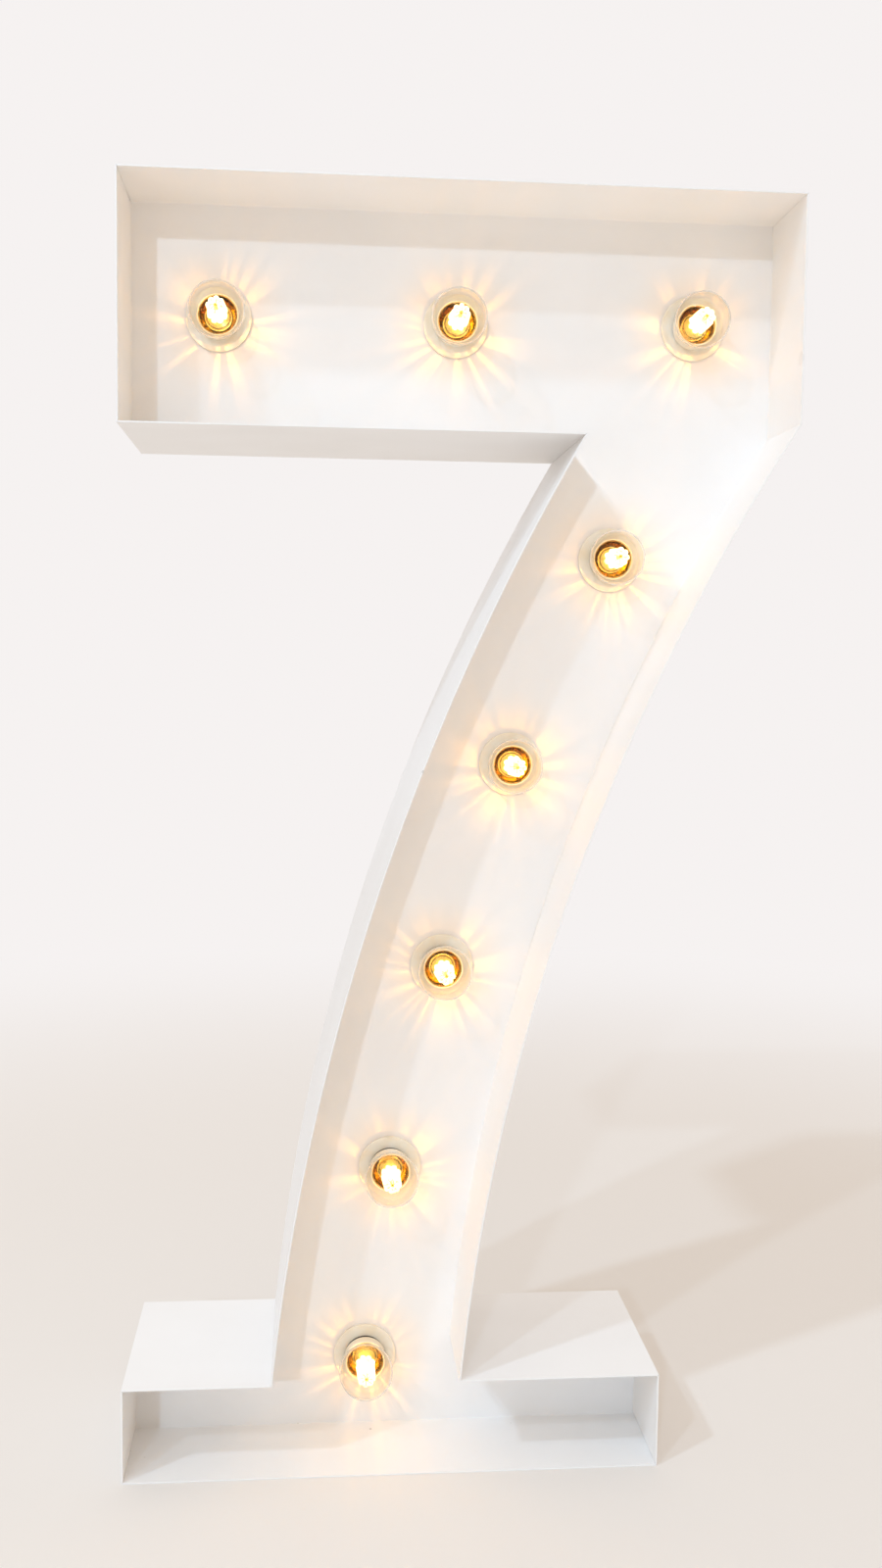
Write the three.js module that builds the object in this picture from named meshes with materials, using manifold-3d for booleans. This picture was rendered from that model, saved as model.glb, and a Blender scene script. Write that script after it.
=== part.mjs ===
// Marquee number seven: a sheet metal numeral 1.2 m tall, open to the front, with eight globe lamps.
// Millimetres, +Z up, front towards -Y. The origin is under the middle of the bounding box, on the floor.

import * as THREE from 'three';
import { mergeVertices } from 'three/addons/utils/BufferGeometryUtils.js';
import Module from 'manifold-3d';

const wasm = await Module();
wasm.setup();

// Numeral, as seen from the front
const overallHeight = 1200;
const barWidth = 622;
const barLeftHeight = 222;
const barRightHeight = 207.5;
const notchFromRight = 201.5;
const footHeight = 91;
const footWidth = 509;
const stemFromFootLeft = 138.5;
const stemWidthAtFoot = 179.5;
const outerCurveRadius = 2035;
const innerCurveRadius = 2221.5;

// Depth of the numeral, and how far the face and the rear cover are set in
const overallDepth = 195;
const faceRecess = 100;
const coverRecess = 10;

// Sheet metal
const panelSheet = 1.5;
const faceSheet = 1.5;
const coverSheet = 1.2;
const ledgeWidth = 12;
const ledgeSheet = 1.5;
const seamGap = 0.3;
const fitGap = 0.3;
const curveSteps = 18;

// Lamp places: bar lamps by width and height, stem lamps by height and place across the stem
const barLampShares = [
  [0.135, 0.9105],
  [0.498, 0.911],
  [0.871, 0.9145],
];
const stemLampShares = [
  [0.7267, 0.535],
  [0.5592, 0.515],
  [0.3918, 0.527],
  [0.2218, 0.51],
  [0.0609, 0.52],
];

// Lampholder, measured outwards from the front of the face panel
const flangeRadius = 31;
const flangeThickness = 3;
const flangeBevel = 1;
const collarRadius = 20.5;
const collarWall = 1.7;
const collarReach = 18;
const barrelRadius = 19.6;
const barrelLength = 38;
const barrelTaper = 4;
const barrelHoleGap = 0.9;
const bowlFloor = 2.3;
const wellDepth = 20;
const holderSides = 16;
const holeSides = 20;

// Screw cap and the shell that it turns in, with the pitch in record.json
const threadRadius = 13.1;
const threadDepth = 0.5;
const threadPitch = 3.63;
const threadTurns = 3;
const threadGap = 0.7;
const shellWall = 0.4;
const shellRim = 1.2;
const capWall = 0.5;
const capRim = 4.5;
const capConeLength = 3;
const contactRadius = 4.2;
const contactHeight = 1;
const capSides = 12;

// Glass globe
const globeRadius = 26.5;
const globeCentre = 41;
const globeWall = 1;
const neckGap = 0.6;
const neckEnd = 1;
const neckShoulder = 7;
const neckFlare = 1.6;
const neckFlareReach = 15;
const globeOpeningAngle = THREE.MathUtils.degToRad(40);
const globeRings = 7;
const globeInnerRings = 5;
const globeSides = 14;

// Filament mount: a glass stem with four filaments between two wire crosses
const mountFlareGap = 0.7;
const mountFlareHeight = 1.5;
const stemRadius = 3;
const stemTipRadius = 1.6;
const stemReach = 57;
const filamentRadius = 1.1;
const filamentCircle = 7.5;
const filamentBottom = 24;
const filamentTop = 54;
const wireSize = 1.2;
const filamentCount = 4;
const mountSides = 6;
const filamentSides = 5;

// Power inlet with its switch, in the rear cover
const inletHeight = 126;
const inletAcrossShare = 0.5;
const inletFlangeWidth = 31;
const inletFlangeHeight = 60;
const inletFlangeSheet = 2.5;
const inletBodyWidth = 27;
const inletBodyHeight = 48;
const inletBodyDepth = 30;
const inletCornerRadius = 3;
const cornerSteps = 3;
const inletHoleGap = 0.4;
const socketWidth = 24;
const socketHeight = 17;
const socketDepth = 16;
const socketBelowCentre = 12;
const pinWidth = 2;
const pinHeight = 4;
const pinLength = 12;
const pinSpacing = 7;
const pinStagger = 4;
const pinRaise = 2;

// Switch rocker, tilted to its on side at rest
const rockerWidth = 13;
const rockerLength = 17;
const rockerAboveCentre = 14;
const rockerProud = 3;
const rockerDish = 0.8;
const rockerKeelWidth = 9;
const rockerKeelDepth = 4.5;
const rockerTilt = THREE.MathUtils.degToRad(10);
const rockerGap = 0.5;
const rockerSwingGap = 1;
const rockerPocketDepth = 8;

// Terminal box behind the face
const boxWidth = 64;
const boxHeight = 50;
const boxWall = 2;
const boxCornerRadius = 4;
const boxLidSheet = 1.6;
const boxAboveInlet = 52;

// Wiring behind the lampholders
const leadRadius = 3;
const leadSides = 8;
const leadStraight = 14;
const leadClearance = 2;
const leadStep = 45;
const footLeadStep = 12;
const inletLeadStep = 6;

// A cut runs this far past the surface that it opens, and points closer than this are one point
const overrun = 1;
const samePoint = 0.03;

// Materials
const whitePaint = { color: 0xf2f1ee, roughness: 0.38, metalness: 0 };
const whitePlastic = { color: 0xf4efe4, roughness: 0.45, metalness: 0 };
const brass = { color: 0xd8a24a, roughness: 0.28, metalness: 1 };
const nickel = { color: 0xb9b4aa, roughness: 0.32, metalness: 1 };
const clearGlass = { color: 0xfff6e6, roughness: 0.03, metalness: 0, transparent: true, opacity: 0.3 };
const filamentGlow = { color: 0xffc66a, roughness: 0.5, metalness: 0, emissive: 0xffb040 };
const blackPlastic = { color: 0x1d1d1f, roughness: 0.5, metalness: 0 };
const greyPlastic = { color: 0x9a9c9c, roughness: 0.6, metalness: 0 };
const cableSheath = { color: 0xe6e4de, roughness: 0.6, metalness: 0 };

const numeral = new THREE.Group();

// Planes through the depth
const frontY = -overallDepth / 2;
const rearY = overallDepth / 2;
const faceFrontY = frontY + faceRecess;
const faceRearY = faceFrontY + faceSheet;
const coverRearY = rearY - coverRecess;
const coverFrontY = coverRearY - coverSheet;

// A closed solid from a geometry: shared points merged, flat-folded triangles at the poles dropped
function solid(geometry) {
  geometry.deleteAttribute('normal');
  geometry.deleteAttribute('uv');
  const merged = mergeVertices(geometry);
  const index = merged.index.array;
  const kept = [];
  for (let i = 0; i < index.length; i += 3) {
    const [a, b, c] = [index[i], index[i + 1], index[i + 2]];
    if (a !== b && b !== c && c !== a) {
      kept.push(a, b, c);
    }
  }
  const vertProperties = new Float32Array(merged.attributes.position.array);
  const triVerts = new Uint32Array(kept);
  return new wasm.Manifold(new wasm.Mesh({ numProp: 3, vertProperties, triVerts }));
}

// A named mesh from a solid, added to a group
function addPiece(group, name, body, look) {
  const surface = body.getMesh();
  const geometry = new THREE.BufferGeometry();
  geometry.setAttribute('position', new THREE.BufferAttribute(surface.vertProperties, 3));
  geometry.setIndex(new THREE.BufferAttribute(surface.triVerts, 1));
  const mesh = new THREE.Mesh(geometry, new THREE.MeshStandardMaterial({ ...look, flatShading: true }));
  mesh.name = name;
  group.add(mesh);
  return mesh;
}

// A flat plate whose outline is drawn as seen from the front, between two depths
function plate(points, nearY, farY, holes = []) {
  const shape = new THREE.Shape(points);
  shape.holes = holes;
  const geometry = new THREE.ExtrudeGeometry(shape, { depth: farY - nearY, bevelEnabled: false });
  geometry.rotateX(Math.PI / 2);
  geometry.translate(0, farY, 0);
  return solid(geometry);
}

// A turned piece: profile of radius and reach, turned round the lamp's axis
function turned(profile, sides) {
  const points = profile.map(([radius, reach]) => new THREE.Vector2(radius, reach));
  return solid(new THREE.LatheGeometry(points, sides));
}

// Corner points of a rectangle with round corners, about a centre
function roundRectangle(x, z, width, height, radius) {
  const shape = new THREE.Shape();
  const [left, right] = [x - width / 2, x + width / 2];
  const [low, high] = [z - height / 2, z + height / 2];
  shape.moveTo(left + radius, low);
  shape.lineTo(right - radius, low);
  shape.absarc(right - radius, low + radius, radius, -Math.PI / 2, 0);
  shape.lineTo(right, high - radius);
  shape.absarc(right - radius, high - radius, radius, 0, Math.PI / 2);
  shape.lineTo(left + radius, high);
  shape.absarc(left + radius, high - radius, radius, Math.PI / 2, Math.PI);
  shape.lineTo(left, low + radius);
  shape.absarc(left + radius, low + radius, radius, Math.PI, 3 * Math.PI / 2);
  return mergeEnds(shape.getPoints(cornerSteps));
}

// A closed outline without its repeated points
function mergeEnds(points) {
  return points.filter((point, i) => {
    const next = points[(i + 1) % points.length];
    return point.distanceTo(next) > samePoint;
  });
}

// A box between two corners
function block(x, y, z, width, depth, height) {
  const geometry = new THREE.BoxGeometry(width, depth, height);
  geometry.translate(x, y, z);
  return solid(geometry);
}

// Centre of an arc that bulges left between two points, with its centre on the right
function arcCentre(low, high, radius) {
  const chord = high.clone().sub(low);
  const middle = low.clone().add(high).multiplyScalar(1 / 2);
  const reach = Math.sqrt(radius ** 2 - chord.lengthSq() / 4);
  const across = new THREE.Vector2(chord.y, -chord.x).normalize();
  return middle.addScaledVector(across, reach);
}

// Driving corners of the numeral, x across and y up
const leftX = -barWidth / 2;
const rightX = barWidth / 2;
const bendZ = overallHeight - barRightHeight;
const undersideZ = overallHeight - barLeftHeight;
const stemLeftX = leftX + stemFromFootLeft;
const stemRightX = stemLeftX + stemWidthAtFoot;
const footRightX = leftX + footWidth;
const notchX = rightX - notchFromRight;
const outerCentre = arcCentre(
  new THREE.Vector2(stemRightX, footHeight),
  new THREE.Vector2(rightX, bendZ),
  outerCurveRadius,
);
const innerCentre = arcCentre(
  new THREE.Vector2(stemLeftX, footHeight),
  new THREE.Vector2(notchX, undersideZ),
  innerCurveRadius,
);

// Where the curved sides are at a height, for an outline moved inwards
function outerCurveX(z, inset) {
  return outerCentre.x - Math.sqrt((outerCurveRadius + inset) ** 2 - (z - outerCentre.y) ** 2);
}

function innerCurveX(z, inset) {
  return innerCentre.x - Math.sqrt((innerCurveRadius - inset) ** 2 - (z - innerCentre.y) ** 2);
}

function bendHeight(inset) {
  const across = outerCentre.x - rightX + inset;
  return outerCentre.y + Math.sqrt((outerCurveRadius + inset) ** 2 - across ** 2);
}

// The eleven corners of the numeral, moved inwards by an inset, clockwise from the top left
function corners(inset) {
  const [left, right] = [leftX + inset, rightX - inset];
  const [top, bottom] = [overallHeight - inset, inset];
  const ledge = footHeight - inset;
  const under = undersideZ + inset;
  const footRight = footRightX - inset;
  return [
    new THREE.Vector2(left, top),
    new THREE.Vector2(right, top),
    new THREE.Vector2(right, bendHeight(inset)),
    new THREE.Vector2(outerCurveX(ledge, inset), ledge),
    new THREE.Vector2(footRight, ledge),
    new THREE.Vector2(footRight, bottom),
    new THREE.Vector2(left, bottom),
    new THREE.Vector2(left, ledge),
    new THREE.Vector2(innerCurveX(ledge, inset), ledge),
    new THREE.Vector2(innerCurveX(under, inset), under),
    new THREE.Vector2(left, under),
  ];
}

// The return panels in the same order, each from its corner to the next
const panelNames = [
  'return_top',
  'return_right',
  'return_curve_outer',
  'foot_top_right',
  'foot_end_right',
  'foot_bottom',
  'foot_end_left',
  'foot_top_left',
  'return_curve_inner',
  'bar_underside',
  'return_left',
];
const outerCurve = panelNames.indexOf('return_curve_outer');
const innerCurve = panelNames.indexOf('return_curve_inner');

// Points along one side of the numeral at an inset, both ends trimmed back
function side(number, inset, trim) {
  const all = corners(inset);
  const start = all[number];
  const end = all[(number + 1) % all.length];
  if (number !== outerCurve && number !== innerCurve) {
    const along = end.clone().sub(start).normalize();
    return [start.clone().addScaledVector(along, trim), end.clone().addScaledVector(along, -trim)];
  }
  const centre = number === outerCurve ? outerCentre : innerCentre;
  const radius = start.distanceTo(centre);
  const from = Math.atan2(start.y - centre.y, start.x - centre.x);
  const to = Math.atan2(end.y - centre.y, end.x - centre.x);
  const short = (turn) => Math.atan2(Math.sin(turn), Math.cos(turn));
  const sweep = short(to - from);
  const cut = (Math.sign(sweep) * trim) / radius;
  return Array.from({ length: curveSteps + 1 }, (_, i) => {
    const angle = from + cut + ((sweep - 2 * cut) * i) / curveSteps;
    return new THREE.Vector2(Math.cos(angle), Math.sin(angle)).multiplyScalar(radius).add(centre);
  });
}

// The whole outline at an inset
function outline(inset) {
  return mergeEnds(panelNames.flatMap((_, number) => side(number, inset, 0)));
}

// One strip of the rim between two insets, between two depths
function strip(number, outerInset, innerInset, nearY, farY) {
  const trim = seamGap / 2;
  const points = [...side(number, outerInset, trim), ...side(number, innerInset, trim).reverse()];
  return plate(points, nearY, farY);
}

// A return panel with the ledge behind the face and the ledge before the rear cover
function returnPanel(number) {
  const ledgeRoot = panelSheet / 2;
  const ledgeEdge = panelSheet + ledgeWidth;
  const faceLedgeY = faceRearY + fitGap;
  const coverLedgeY = coverFrontY - fitGap - ledgeSheet;
  return strip(number, 0, panelSheet, frontY, rearY)
    .add(strip(number, ledgeRoot, ledgeEdge, faceLedgeY, faceLedgeY + ledgeSheet))
    .add(strip(number, ledgeRoot, ledgeEdge, coverLedgeY, coverLedgeY + ledgeSheet));
}

panelNames.forEach((name, number) => {
  addPiece(numeral, name, returnPanel(number), whitePaint);
});

// Lamp places
const stemLeftAt = (z) => innerCurveX(z, 0);
const stemRightAt = (z) => outerCurveX(z, 0);

function stemPlace(z, acrossShare) {
  const width = stemRightAt(z) - stemLeftAt(z);
  return new THREE.Vector2(stemLeftAt(z) + width * acrossShare, z);
}

const lampPlaces = [
  ...barLampShares.map(([acrossShare, upShare]) => {
    return new THREE.Vector2(leftX + barWidth * acrossShare, overallHeight * upShare);
  }),
  ...stemLampShares.map(([upShare, acrossShare]) => {
    return stemPlace(overallHeight * upShare, acrossShare);
  }),
];

// Face panel, with a hole for each lampholder
const sheetInset = panelSheet + fitGap;

function lampHole(place) {
  const radius = barrelRadius + barrelHoleGap;
  const points = Array.from({ length: holeSides }, (_, i) => {
    const angle = (2 * Math.PI * i) / holeSides;
    return new THREE.Vector2(place.x + radius * Math.cos(angle), place.y + radius * Math.sin(angle));
  });
  return new THREE.Path(points);
}

const facePanel = plate(outline(sheetInset), faceFrontY, faceRearY, lampPlaces.map(lampHole));
addPiece(numeral, 'face_panel', facePanel, whitePaint);

// Inlet place, on the rear cover behind the stem
const inletPlace = stemPlace(inletHeight, inletAcrossShare);
const inletPocket = roundRectangle(
  inletPlace.x,
  inletPlace.y,
  inletBodyWidth + 2 * inletHoleGap,
  inletBodyHeight + 2 * inletHoleGap,
  inletCornerRadius,
);

const rearCover = plate(outline(sheetInset), coverFrontY, coverRearY, [new THREE.Path(inletPocket)]);
addPiece(numeral, 'rear_cover', rearCover, whitePaint);

// Lampholder: flange and collar in front of the face, barrel behind it
const seat = fitGap;
const bowlRadius = collarRadius - collarWall;
const shellRadius = threadRadius + threadGap + shellWall;
const wellRadius = shellRadius + fitGap + shellWall / 2;
const behindFace = -faceSheet - barrelLength;

function lampholder() {
  return turned(
    [
      [0, behindFace],
      [barrelRadius - barrelTaper, behindFace],
      [barrelRadius, behindFace + barrelTaper],
      [barrelRadius, seat],
      [flangeRadius, seat],
      [flangeRadius, seat + flangeThickness - flangeBevel],
      [flangeRadius - flangeBevel, seat + flangeThickness],
      [collarRadius, seat + flangeThickness],
      [collarRadius, collarReach],
      [bowlRadius, collarReach],
      [bowlRadius, bowlFloor],
      [wellRadius, bowlFloor],
      [wellRadius, -wellDepth],
      [0, -wellDepth],
    ],
    holderSides,
  );
}

// Screw shell: a threaded sleeve in the well, flared out to line the collar
function screwShell() {
  const flareRadius = bowlRadius - 2 * fitGap;
  const floor = bowlFloor + fitGap;
  const top = collarReach - shellRim;
  const foot = -wellDepth + fitGap;
  return turned(
    [
      [shellRadius, foot],
      [shellRadius, floor],
      [flareRadius, floor],
      [flareRadius, top],
      [flareRadius - shellWall, top],
      [flareRadius - shellWall, floor + shellWall],
      [shellRadius - shellWall, floor + shellWall],
      [shellRadius - shellWall, foot],
      [shellRadius, foot],
    ],
    capSides,
  );
}

// Screw cap: contact, insulating cone, thread and the hollow that takes the glass neck
const capInnerRadius = threadRadius - threadDepth - capWall;
const capFoot = -wellDepth + fitGap;
const capShoulder = capFoot + contactHeight + capConeLength;

function screwCap() {
  const threads = [];
  for (let turn = 0; turn < threadTurns; turn += 1) {
    const crest = capShoulder + threadPitch * (turn + 1 / 2);
    threads.push([threadRadius, crest], [threadRadius - threadDepth, crest + threadPitch / 2]);
  }
  return turned(
    [
      [0, capFoot],
      [contactRadius, capFoot],
      [contactRadius, capFoot + contactHeight],
      [threadRadius - threadDepth, capShoulder],
      ...threads,
      [threadRadius, capRim],
      [capInnerRadius, capRim],
      [capInnerRadius, capShoulder],
      [0, capFoot + contactHeight + capWall],
    ],
    capSides,
  );
}

// Glass globe: a thin shell with an open neck that stands in the screw cap
const neckRadius = capInnerRadius - neckGap;

function glassLine(radius, ballRadius, rings) {
  const ball = Array.from({ length: rings + 1 }, (_, i) => {
    const angle = globeOpeningAngle + ((Math.PI - globeOpeningAngle) * i) / rings;
    const across = i === rings ? 0 : ballRadius * Math.sin(angle);
    return [across, globeCentre - ballRadius * Math.cos(angle)];
  });
  return [
    [radius, neckEnd],
    [radius, neckShoulder],
    [radius + neckFlare, neckFlareReach],
    ...ball,
  ];
}

function globe() {
  const outside = glassLine(neckRadius, globeRadius, globeRings);
  const inside = glassLine(neckRadius - globeWall, globeRadius - globeWall, globeInnerRings);
  return turned([...inside.reverse(), ...outside], globeSides);
}

// Filament mount
function filamentMount() {
  const flareRadius = neckRadius - globeWall - mountFlareGap;
  const stem = turned(
    [
      [0, neckEnd],
      [flareRadius, neckEnd],
      [flareRadius, neckEnd + mountFlareHeight],
      [stemRadius, neckFlareReach],
      [stemTipRadius, stemReach],
      [0, stemReach],
    ],
    mountSides,
  );
  const bar = 2 * filamentCircle;
  const heights = [filamentBottom, filamentTop];
  const wires = heights.flatMap((reach) => [
    block(0, reach, 0, bar, wireSize, wireSize),
    block(0, reach, 0, wireSize, wireSize, bar),
  ]);
  const filaments = Array.from({ length: filamentCount }, (_, i) => {
    const angle = (2 * Math.PI * i) / filamentCount;
    const rod = new THREE.CylinderGeometry(
      filamentRadius,
      filamentRadius,
      filamentTop - filamentBottom + wireSize,
      filamentSides,
    );
    rod.translate(
      filamentCircle * Math.cos(angle),
      (filamentTop + filamentBottom) / 2,
      filamentCircle * Math.sin(angle),
    );
    return solid(rod);
  });
  return [...wires, ...filaments].reduce((sum, piece) => sum.add(piece), stem);
}

// Eight lamps, each in its own group whose y axis points out of the face
lampPlaces.forEach((place, i) => {
  const lamp = new THREE.Group();
  lamp.position.set(place.x, faceFrontY, place.y);
  lamp.rotation.z = Math.PI;
  const number = i + 1;
  addPiece(lamp, `lampholder_${number}`, lampholder(), whitePlastic);
  addPiece(lamp, `screw_shell_${number}`, screwShell(), brass);
  addPiece(lamp, `bulb_cap_${number}`, screwCap(), nickel);
  addPiece(lamp, `bulb_globe_${number}`, globe(), clearGlass);
  addPiece(lamp, `bulb_filament_${number}`, filamentMount(), filamentGlow);
  numeral.add(lamp);
});

// Power inlet: a flanged housing through the rear cover, with a socket below and a switch above
const inletFlangeY = coverRearY + fitGap;
const inletBackY = inletFlangeY + inletFlangeSheet;
const inletInnerY = coverFrontY - inletBodyDepth;
const socketZ = inletPlace.y - socketBelowCentre;
const rockerZ = inletPlace.y + rockerAboveCentre;

function powerInlet() {
  const flange = plate(
    roundRectangle(inletPlace.x, inletPlace.y, inletFlangeWidth, inletFlangeHeight, inletCornerRadius),
    inletFlangeY,
    inletBackY,
  );
  const body = plate(
    roundRectangle(inletPlace.x, inletPlace.y, inletBodyWidth, inletBodyHeight, inletCornerRadius),
    inletInnerY,
    inletFlangeY + inletFlangeSheet / 2,
  );
  const socket = plate(
    roundRectangle(inletPlace.x, socketZ, socketWidth, socketHeight, inletCornerRadius),
    inletBackY - socketDepth,
    inletBackY + overrun,
  );
  const pocketWidth = rockerWidth + 2 * rockerGap;
  const pocketHeight = rockerLength + 2 * rockerSwingGap;
  const pocket = block(
    inletPlace.x,
    inletBackY - rockerPocketDepth / 2 + overrun / 2,
    rockerZ,
    pocketWidth,
    rockerPocketDepth + overrun,
    pocketHeight,
  );
  const pinRootY = inletBackY - socketDepth - overrun;
  const pins = [-1, 0, 1].map((place) => {
    const raise = place === 0 ? pinRaise + pinStagger / 2 : pinRaise - pinStagger / 2;
    return block(
      inletPlace.x + place * pinSpacing,
      pinRootY + (pinLength + overrun) / 2,
      socketZ + raise,
      pinWidth,
      pinLength + overrun,
      pinHeight,
    );
  });
  const housing = flange.add(body).subtract(socket).subtract(pocket);
  return pins.reduce((sum, pin) => sum.add(pin), housing);
}

addPiece(numeral, 'power_inlet', powerInlet(), blackPlastic);

// Switch rocker: a paddle with a shallow dish and a keel, extruded across its width
function rocker() {
  const half = rockerLength / 2;
  const keel = rockerKeelWidth / 2;
  const profile = new THREE.Shape([
    new THREE.Vector2(-half, 0),
    new THREE.Vector2(-keel, -rockerKeelDepth),
    new THREE.Vector2(keel, -rockerKeelDepth),
    new THREE.Vector2(half, 0),
    new THREE.Vector2(half, rockerProud),
    new THREE.Vector2(0, rockerProud - rockerDish),
    new THREE.Vector2(-half, rockerProud),
  ]);
  const paddle = new THREE.ExtrudeGeometry(profile, { depth: rockerWidth, bevelEnabled: false });
  paddle.translate(0, 0, -rockerWidth / 2);
  paddle.rotateY(-Math.PI / 2);
  paddle.rotateX(-rockerTilt);
  return solid(paddle);
}

const rockerPiece = addPiece(numeral, 'switch_rocker', rocker(), blackPlastic);
rockerPiece.position.set(inletPlace.x, inletBackY, rockerZ);

// The leads lie on the backs of the lampholders
const holderBackY = faceFrontY - behindFace;
const leadY = holderBackY + fitGap + leadRadius;

// Terminal box on the back of the face, deep enough for the leads, with its lid
const boxX = inletPlace.x;
const boxZ = inletPlace.y + boxAboveInlet;
const boxNearY = faceRearY + fitGap;
const boxFarY = leadY + leadRadius + boxWall;
const boxOutside = roundRectangle(boxX, boxZ, boxWidth, boxHeight, boxCornerRadius);
const boxInside = roundRectangle(
  boxX,
  boxZ,
  boxWidth - 2 * boxWall,
  boxHeight - 2 * boxWall,
  boxCornerRadius - boxWall,
);
const terminalBox = plate(boxOutside, boxNearY, boxFarY).subtract(
  plate(boxInside, boxNearY + boxWall, boxFarY + overrun),
);
addPiece(numeral, 'terminal_box', terminalBox, greyPlastic);
const lidY = boxFarY + fitGap;
addPiece(numeral, 'terminal_lid', plate(boxOutside, lidY, lidY + boxLidSheet), greyPlastic);

// A round lead along a list of points
function lead(points, stepLength) {
  const path = new THREE.CatmullRomCurve3(points, false, 'centripetal');
  const section = new THREE.Shape(
    Array.from({ length: leadSides }, (_, i) => {
      const angle = (2 * Math.PI * i) / leadSides;
      return new THREE.Vector2(leadRadius * Math.cos(angle), leadRadius * Math.sin(angle));
    }),
  );
  const steps = Math.ceil(path.getLength() / stepLength);
  return solid(new THREE.ExtrudeGeometry(section, { steps, extrudePath: path, bevelEnabled: false }));
}

// Where the leads enter the box, and how far they keep to the side of the inlet
const boxTopZ = boxZ + boxHeight / 2 + fitGap;
const boxLowZ = boxZ - boxHeight / 2 - fitGap;
const inletLowZ = inletPlace.y - inletBodyHeight / 2;
const leadSpread = inletBodyWidth / 2 + leadRadius + leadClearance;
const behind = (place, rise = 0) => new THREE.Vector3(place.x, leadY, place.y + rise);
const footLamp = lampPlaces.at(-1);
const barLamps = lampPlaces.slice(0, barLampShares.length);
const stemLamps = lampPlaces.slice(barLampShares.length, -1);
const route = [...stemLamps.reverse(), ...barLamps.reverse()];

const mainLead = lead(
  [
    new THREE.Vector3(boxX, leadY, boxTopZ),
    new THREE.Vector3(boxX, leadY, boxTopZ + leadStraight),
    ...route.map((place) => behind(place)),
  ],
  leadStep,
);
addPiece(numeral, 'lamp_lead_main', mainLead, cableSheath);

const footLead = lead(
  [
    new THREE.Vector3(boxX - leadSpread, leadY, boxLowZ),
    new THREE.Vector3(boxX - leadSpread, leadY, boxLowZ - leadStraight),
    new THREE.Vector3(boxX - leadSpread, leadY, inletLowZ),
    behind(footLamp),
    behind(footLamp, -leadStraight),
  ],
  footLeadStep,
);
addPiece(numeral, 'lamp_lead_foot', footLead, cableSheath);

// The inlet's own lead runs forward from the housing, then up into the box close behind the face
const inletLeadY = boxNearY + boxWall + leadRadius + leadClearance;
const inletLeadZ = boxLowZ - 2 * leadStraight - leadRadius;
const inletLeadX = boxX + leadSpread / 2;
const inletLead = lead(
  [
    new THREE.Vector3(inletLeadX, inletInnerY - fitGap, inletLeadZ),
    new THREE.Vector3(inletLeadX, inletInnerY - fitGap - leadStraight / 2, inletLeadZ),
    new THREE.Vector3(inletLeadX, inletLeadY, boxLowZ - leadStraight / 2),
    new THREE.Vector3(inletLeadX, inletLeadY, boxLowZ),
  ],
  inletLeadStep,
);
addPiece(numeral, 'inlet_lead', inletLead, cableSheath);

export default numeral;
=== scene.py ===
# %% [markdown]
# # A lit numeral, dressed in Blender
# The object is a number seven, 1.2 m tall, built like a shop letter: a flat face set 100 mm into a
# rim of white painted sheet, with eight globe lamps on the face and a cover on the back. The CAD model
# gives every size and every joint. This lesson keeps them, and adds what the eye expects to see:
# rounded sheet edges, turned lampholders, thin glass, paint, brass and light.

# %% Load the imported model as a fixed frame
import math

import bmesh
import bpy
from mathutils import Matrix, Vector


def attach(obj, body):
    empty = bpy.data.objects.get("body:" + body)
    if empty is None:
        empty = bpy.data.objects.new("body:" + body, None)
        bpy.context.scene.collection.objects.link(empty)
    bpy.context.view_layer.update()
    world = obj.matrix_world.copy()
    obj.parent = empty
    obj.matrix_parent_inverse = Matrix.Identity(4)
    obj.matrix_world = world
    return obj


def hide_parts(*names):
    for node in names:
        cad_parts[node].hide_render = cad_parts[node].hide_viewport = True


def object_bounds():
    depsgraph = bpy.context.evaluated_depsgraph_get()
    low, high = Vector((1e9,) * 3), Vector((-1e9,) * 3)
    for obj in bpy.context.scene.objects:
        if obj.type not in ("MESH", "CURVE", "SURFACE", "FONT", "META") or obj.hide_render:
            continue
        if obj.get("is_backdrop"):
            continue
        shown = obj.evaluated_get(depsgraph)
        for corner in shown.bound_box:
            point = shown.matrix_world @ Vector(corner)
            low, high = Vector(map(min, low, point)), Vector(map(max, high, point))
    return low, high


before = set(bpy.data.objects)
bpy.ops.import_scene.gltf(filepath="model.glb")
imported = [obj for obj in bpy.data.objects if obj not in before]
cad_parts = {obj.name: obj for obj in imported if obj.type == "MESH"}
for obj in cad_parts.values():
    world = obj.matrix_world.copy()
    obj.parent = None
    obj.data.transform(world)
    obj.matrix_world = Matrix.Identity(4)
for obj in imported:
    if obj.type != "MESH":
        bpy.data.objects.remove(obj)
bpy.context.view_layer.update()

# %% [markdown]
# ## The camera
# A picture of a tall object looks right only from where it was taken. The place, the turn and the lens
# below were fitted to the picture with the outline of the rim, its depth and the eight flanges. The
# lens counts for the long side of the frame.

# %% Place the camera
MM = 0.001
LENS_MM = 34.026
SENSOR_MM = 36.0
CAMERA_PLACE = (-0.13766, -1.44872, 0.76174)
CAMERA_TURN_DEG = (85.64247, -0.67776, -4.97499)

lens_data = bpy.data.cameras.new("studio_camera")
lens_data.lens = LENS_MM
lens_data.sensor_width = SENSOR_MM
lens_data.sensor_fit = "AUTO"
camera = bpy.data.objects.new("studio_camera", lens_data)
camera.location = CAMERA_PLACE
camera.rotation_euler = [math.radians(angle) for angle in CAMERA_TURN_DEG]
bpy.context.scene.collection.objects.link(camera)
bpy.context.scene.camera = camera
bpy.context.scene.view_settings.view_transform = "Standard"
print("camera at", CAMERA_PLACE, "with a lens of", LENS_MM, "mm")

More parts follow.
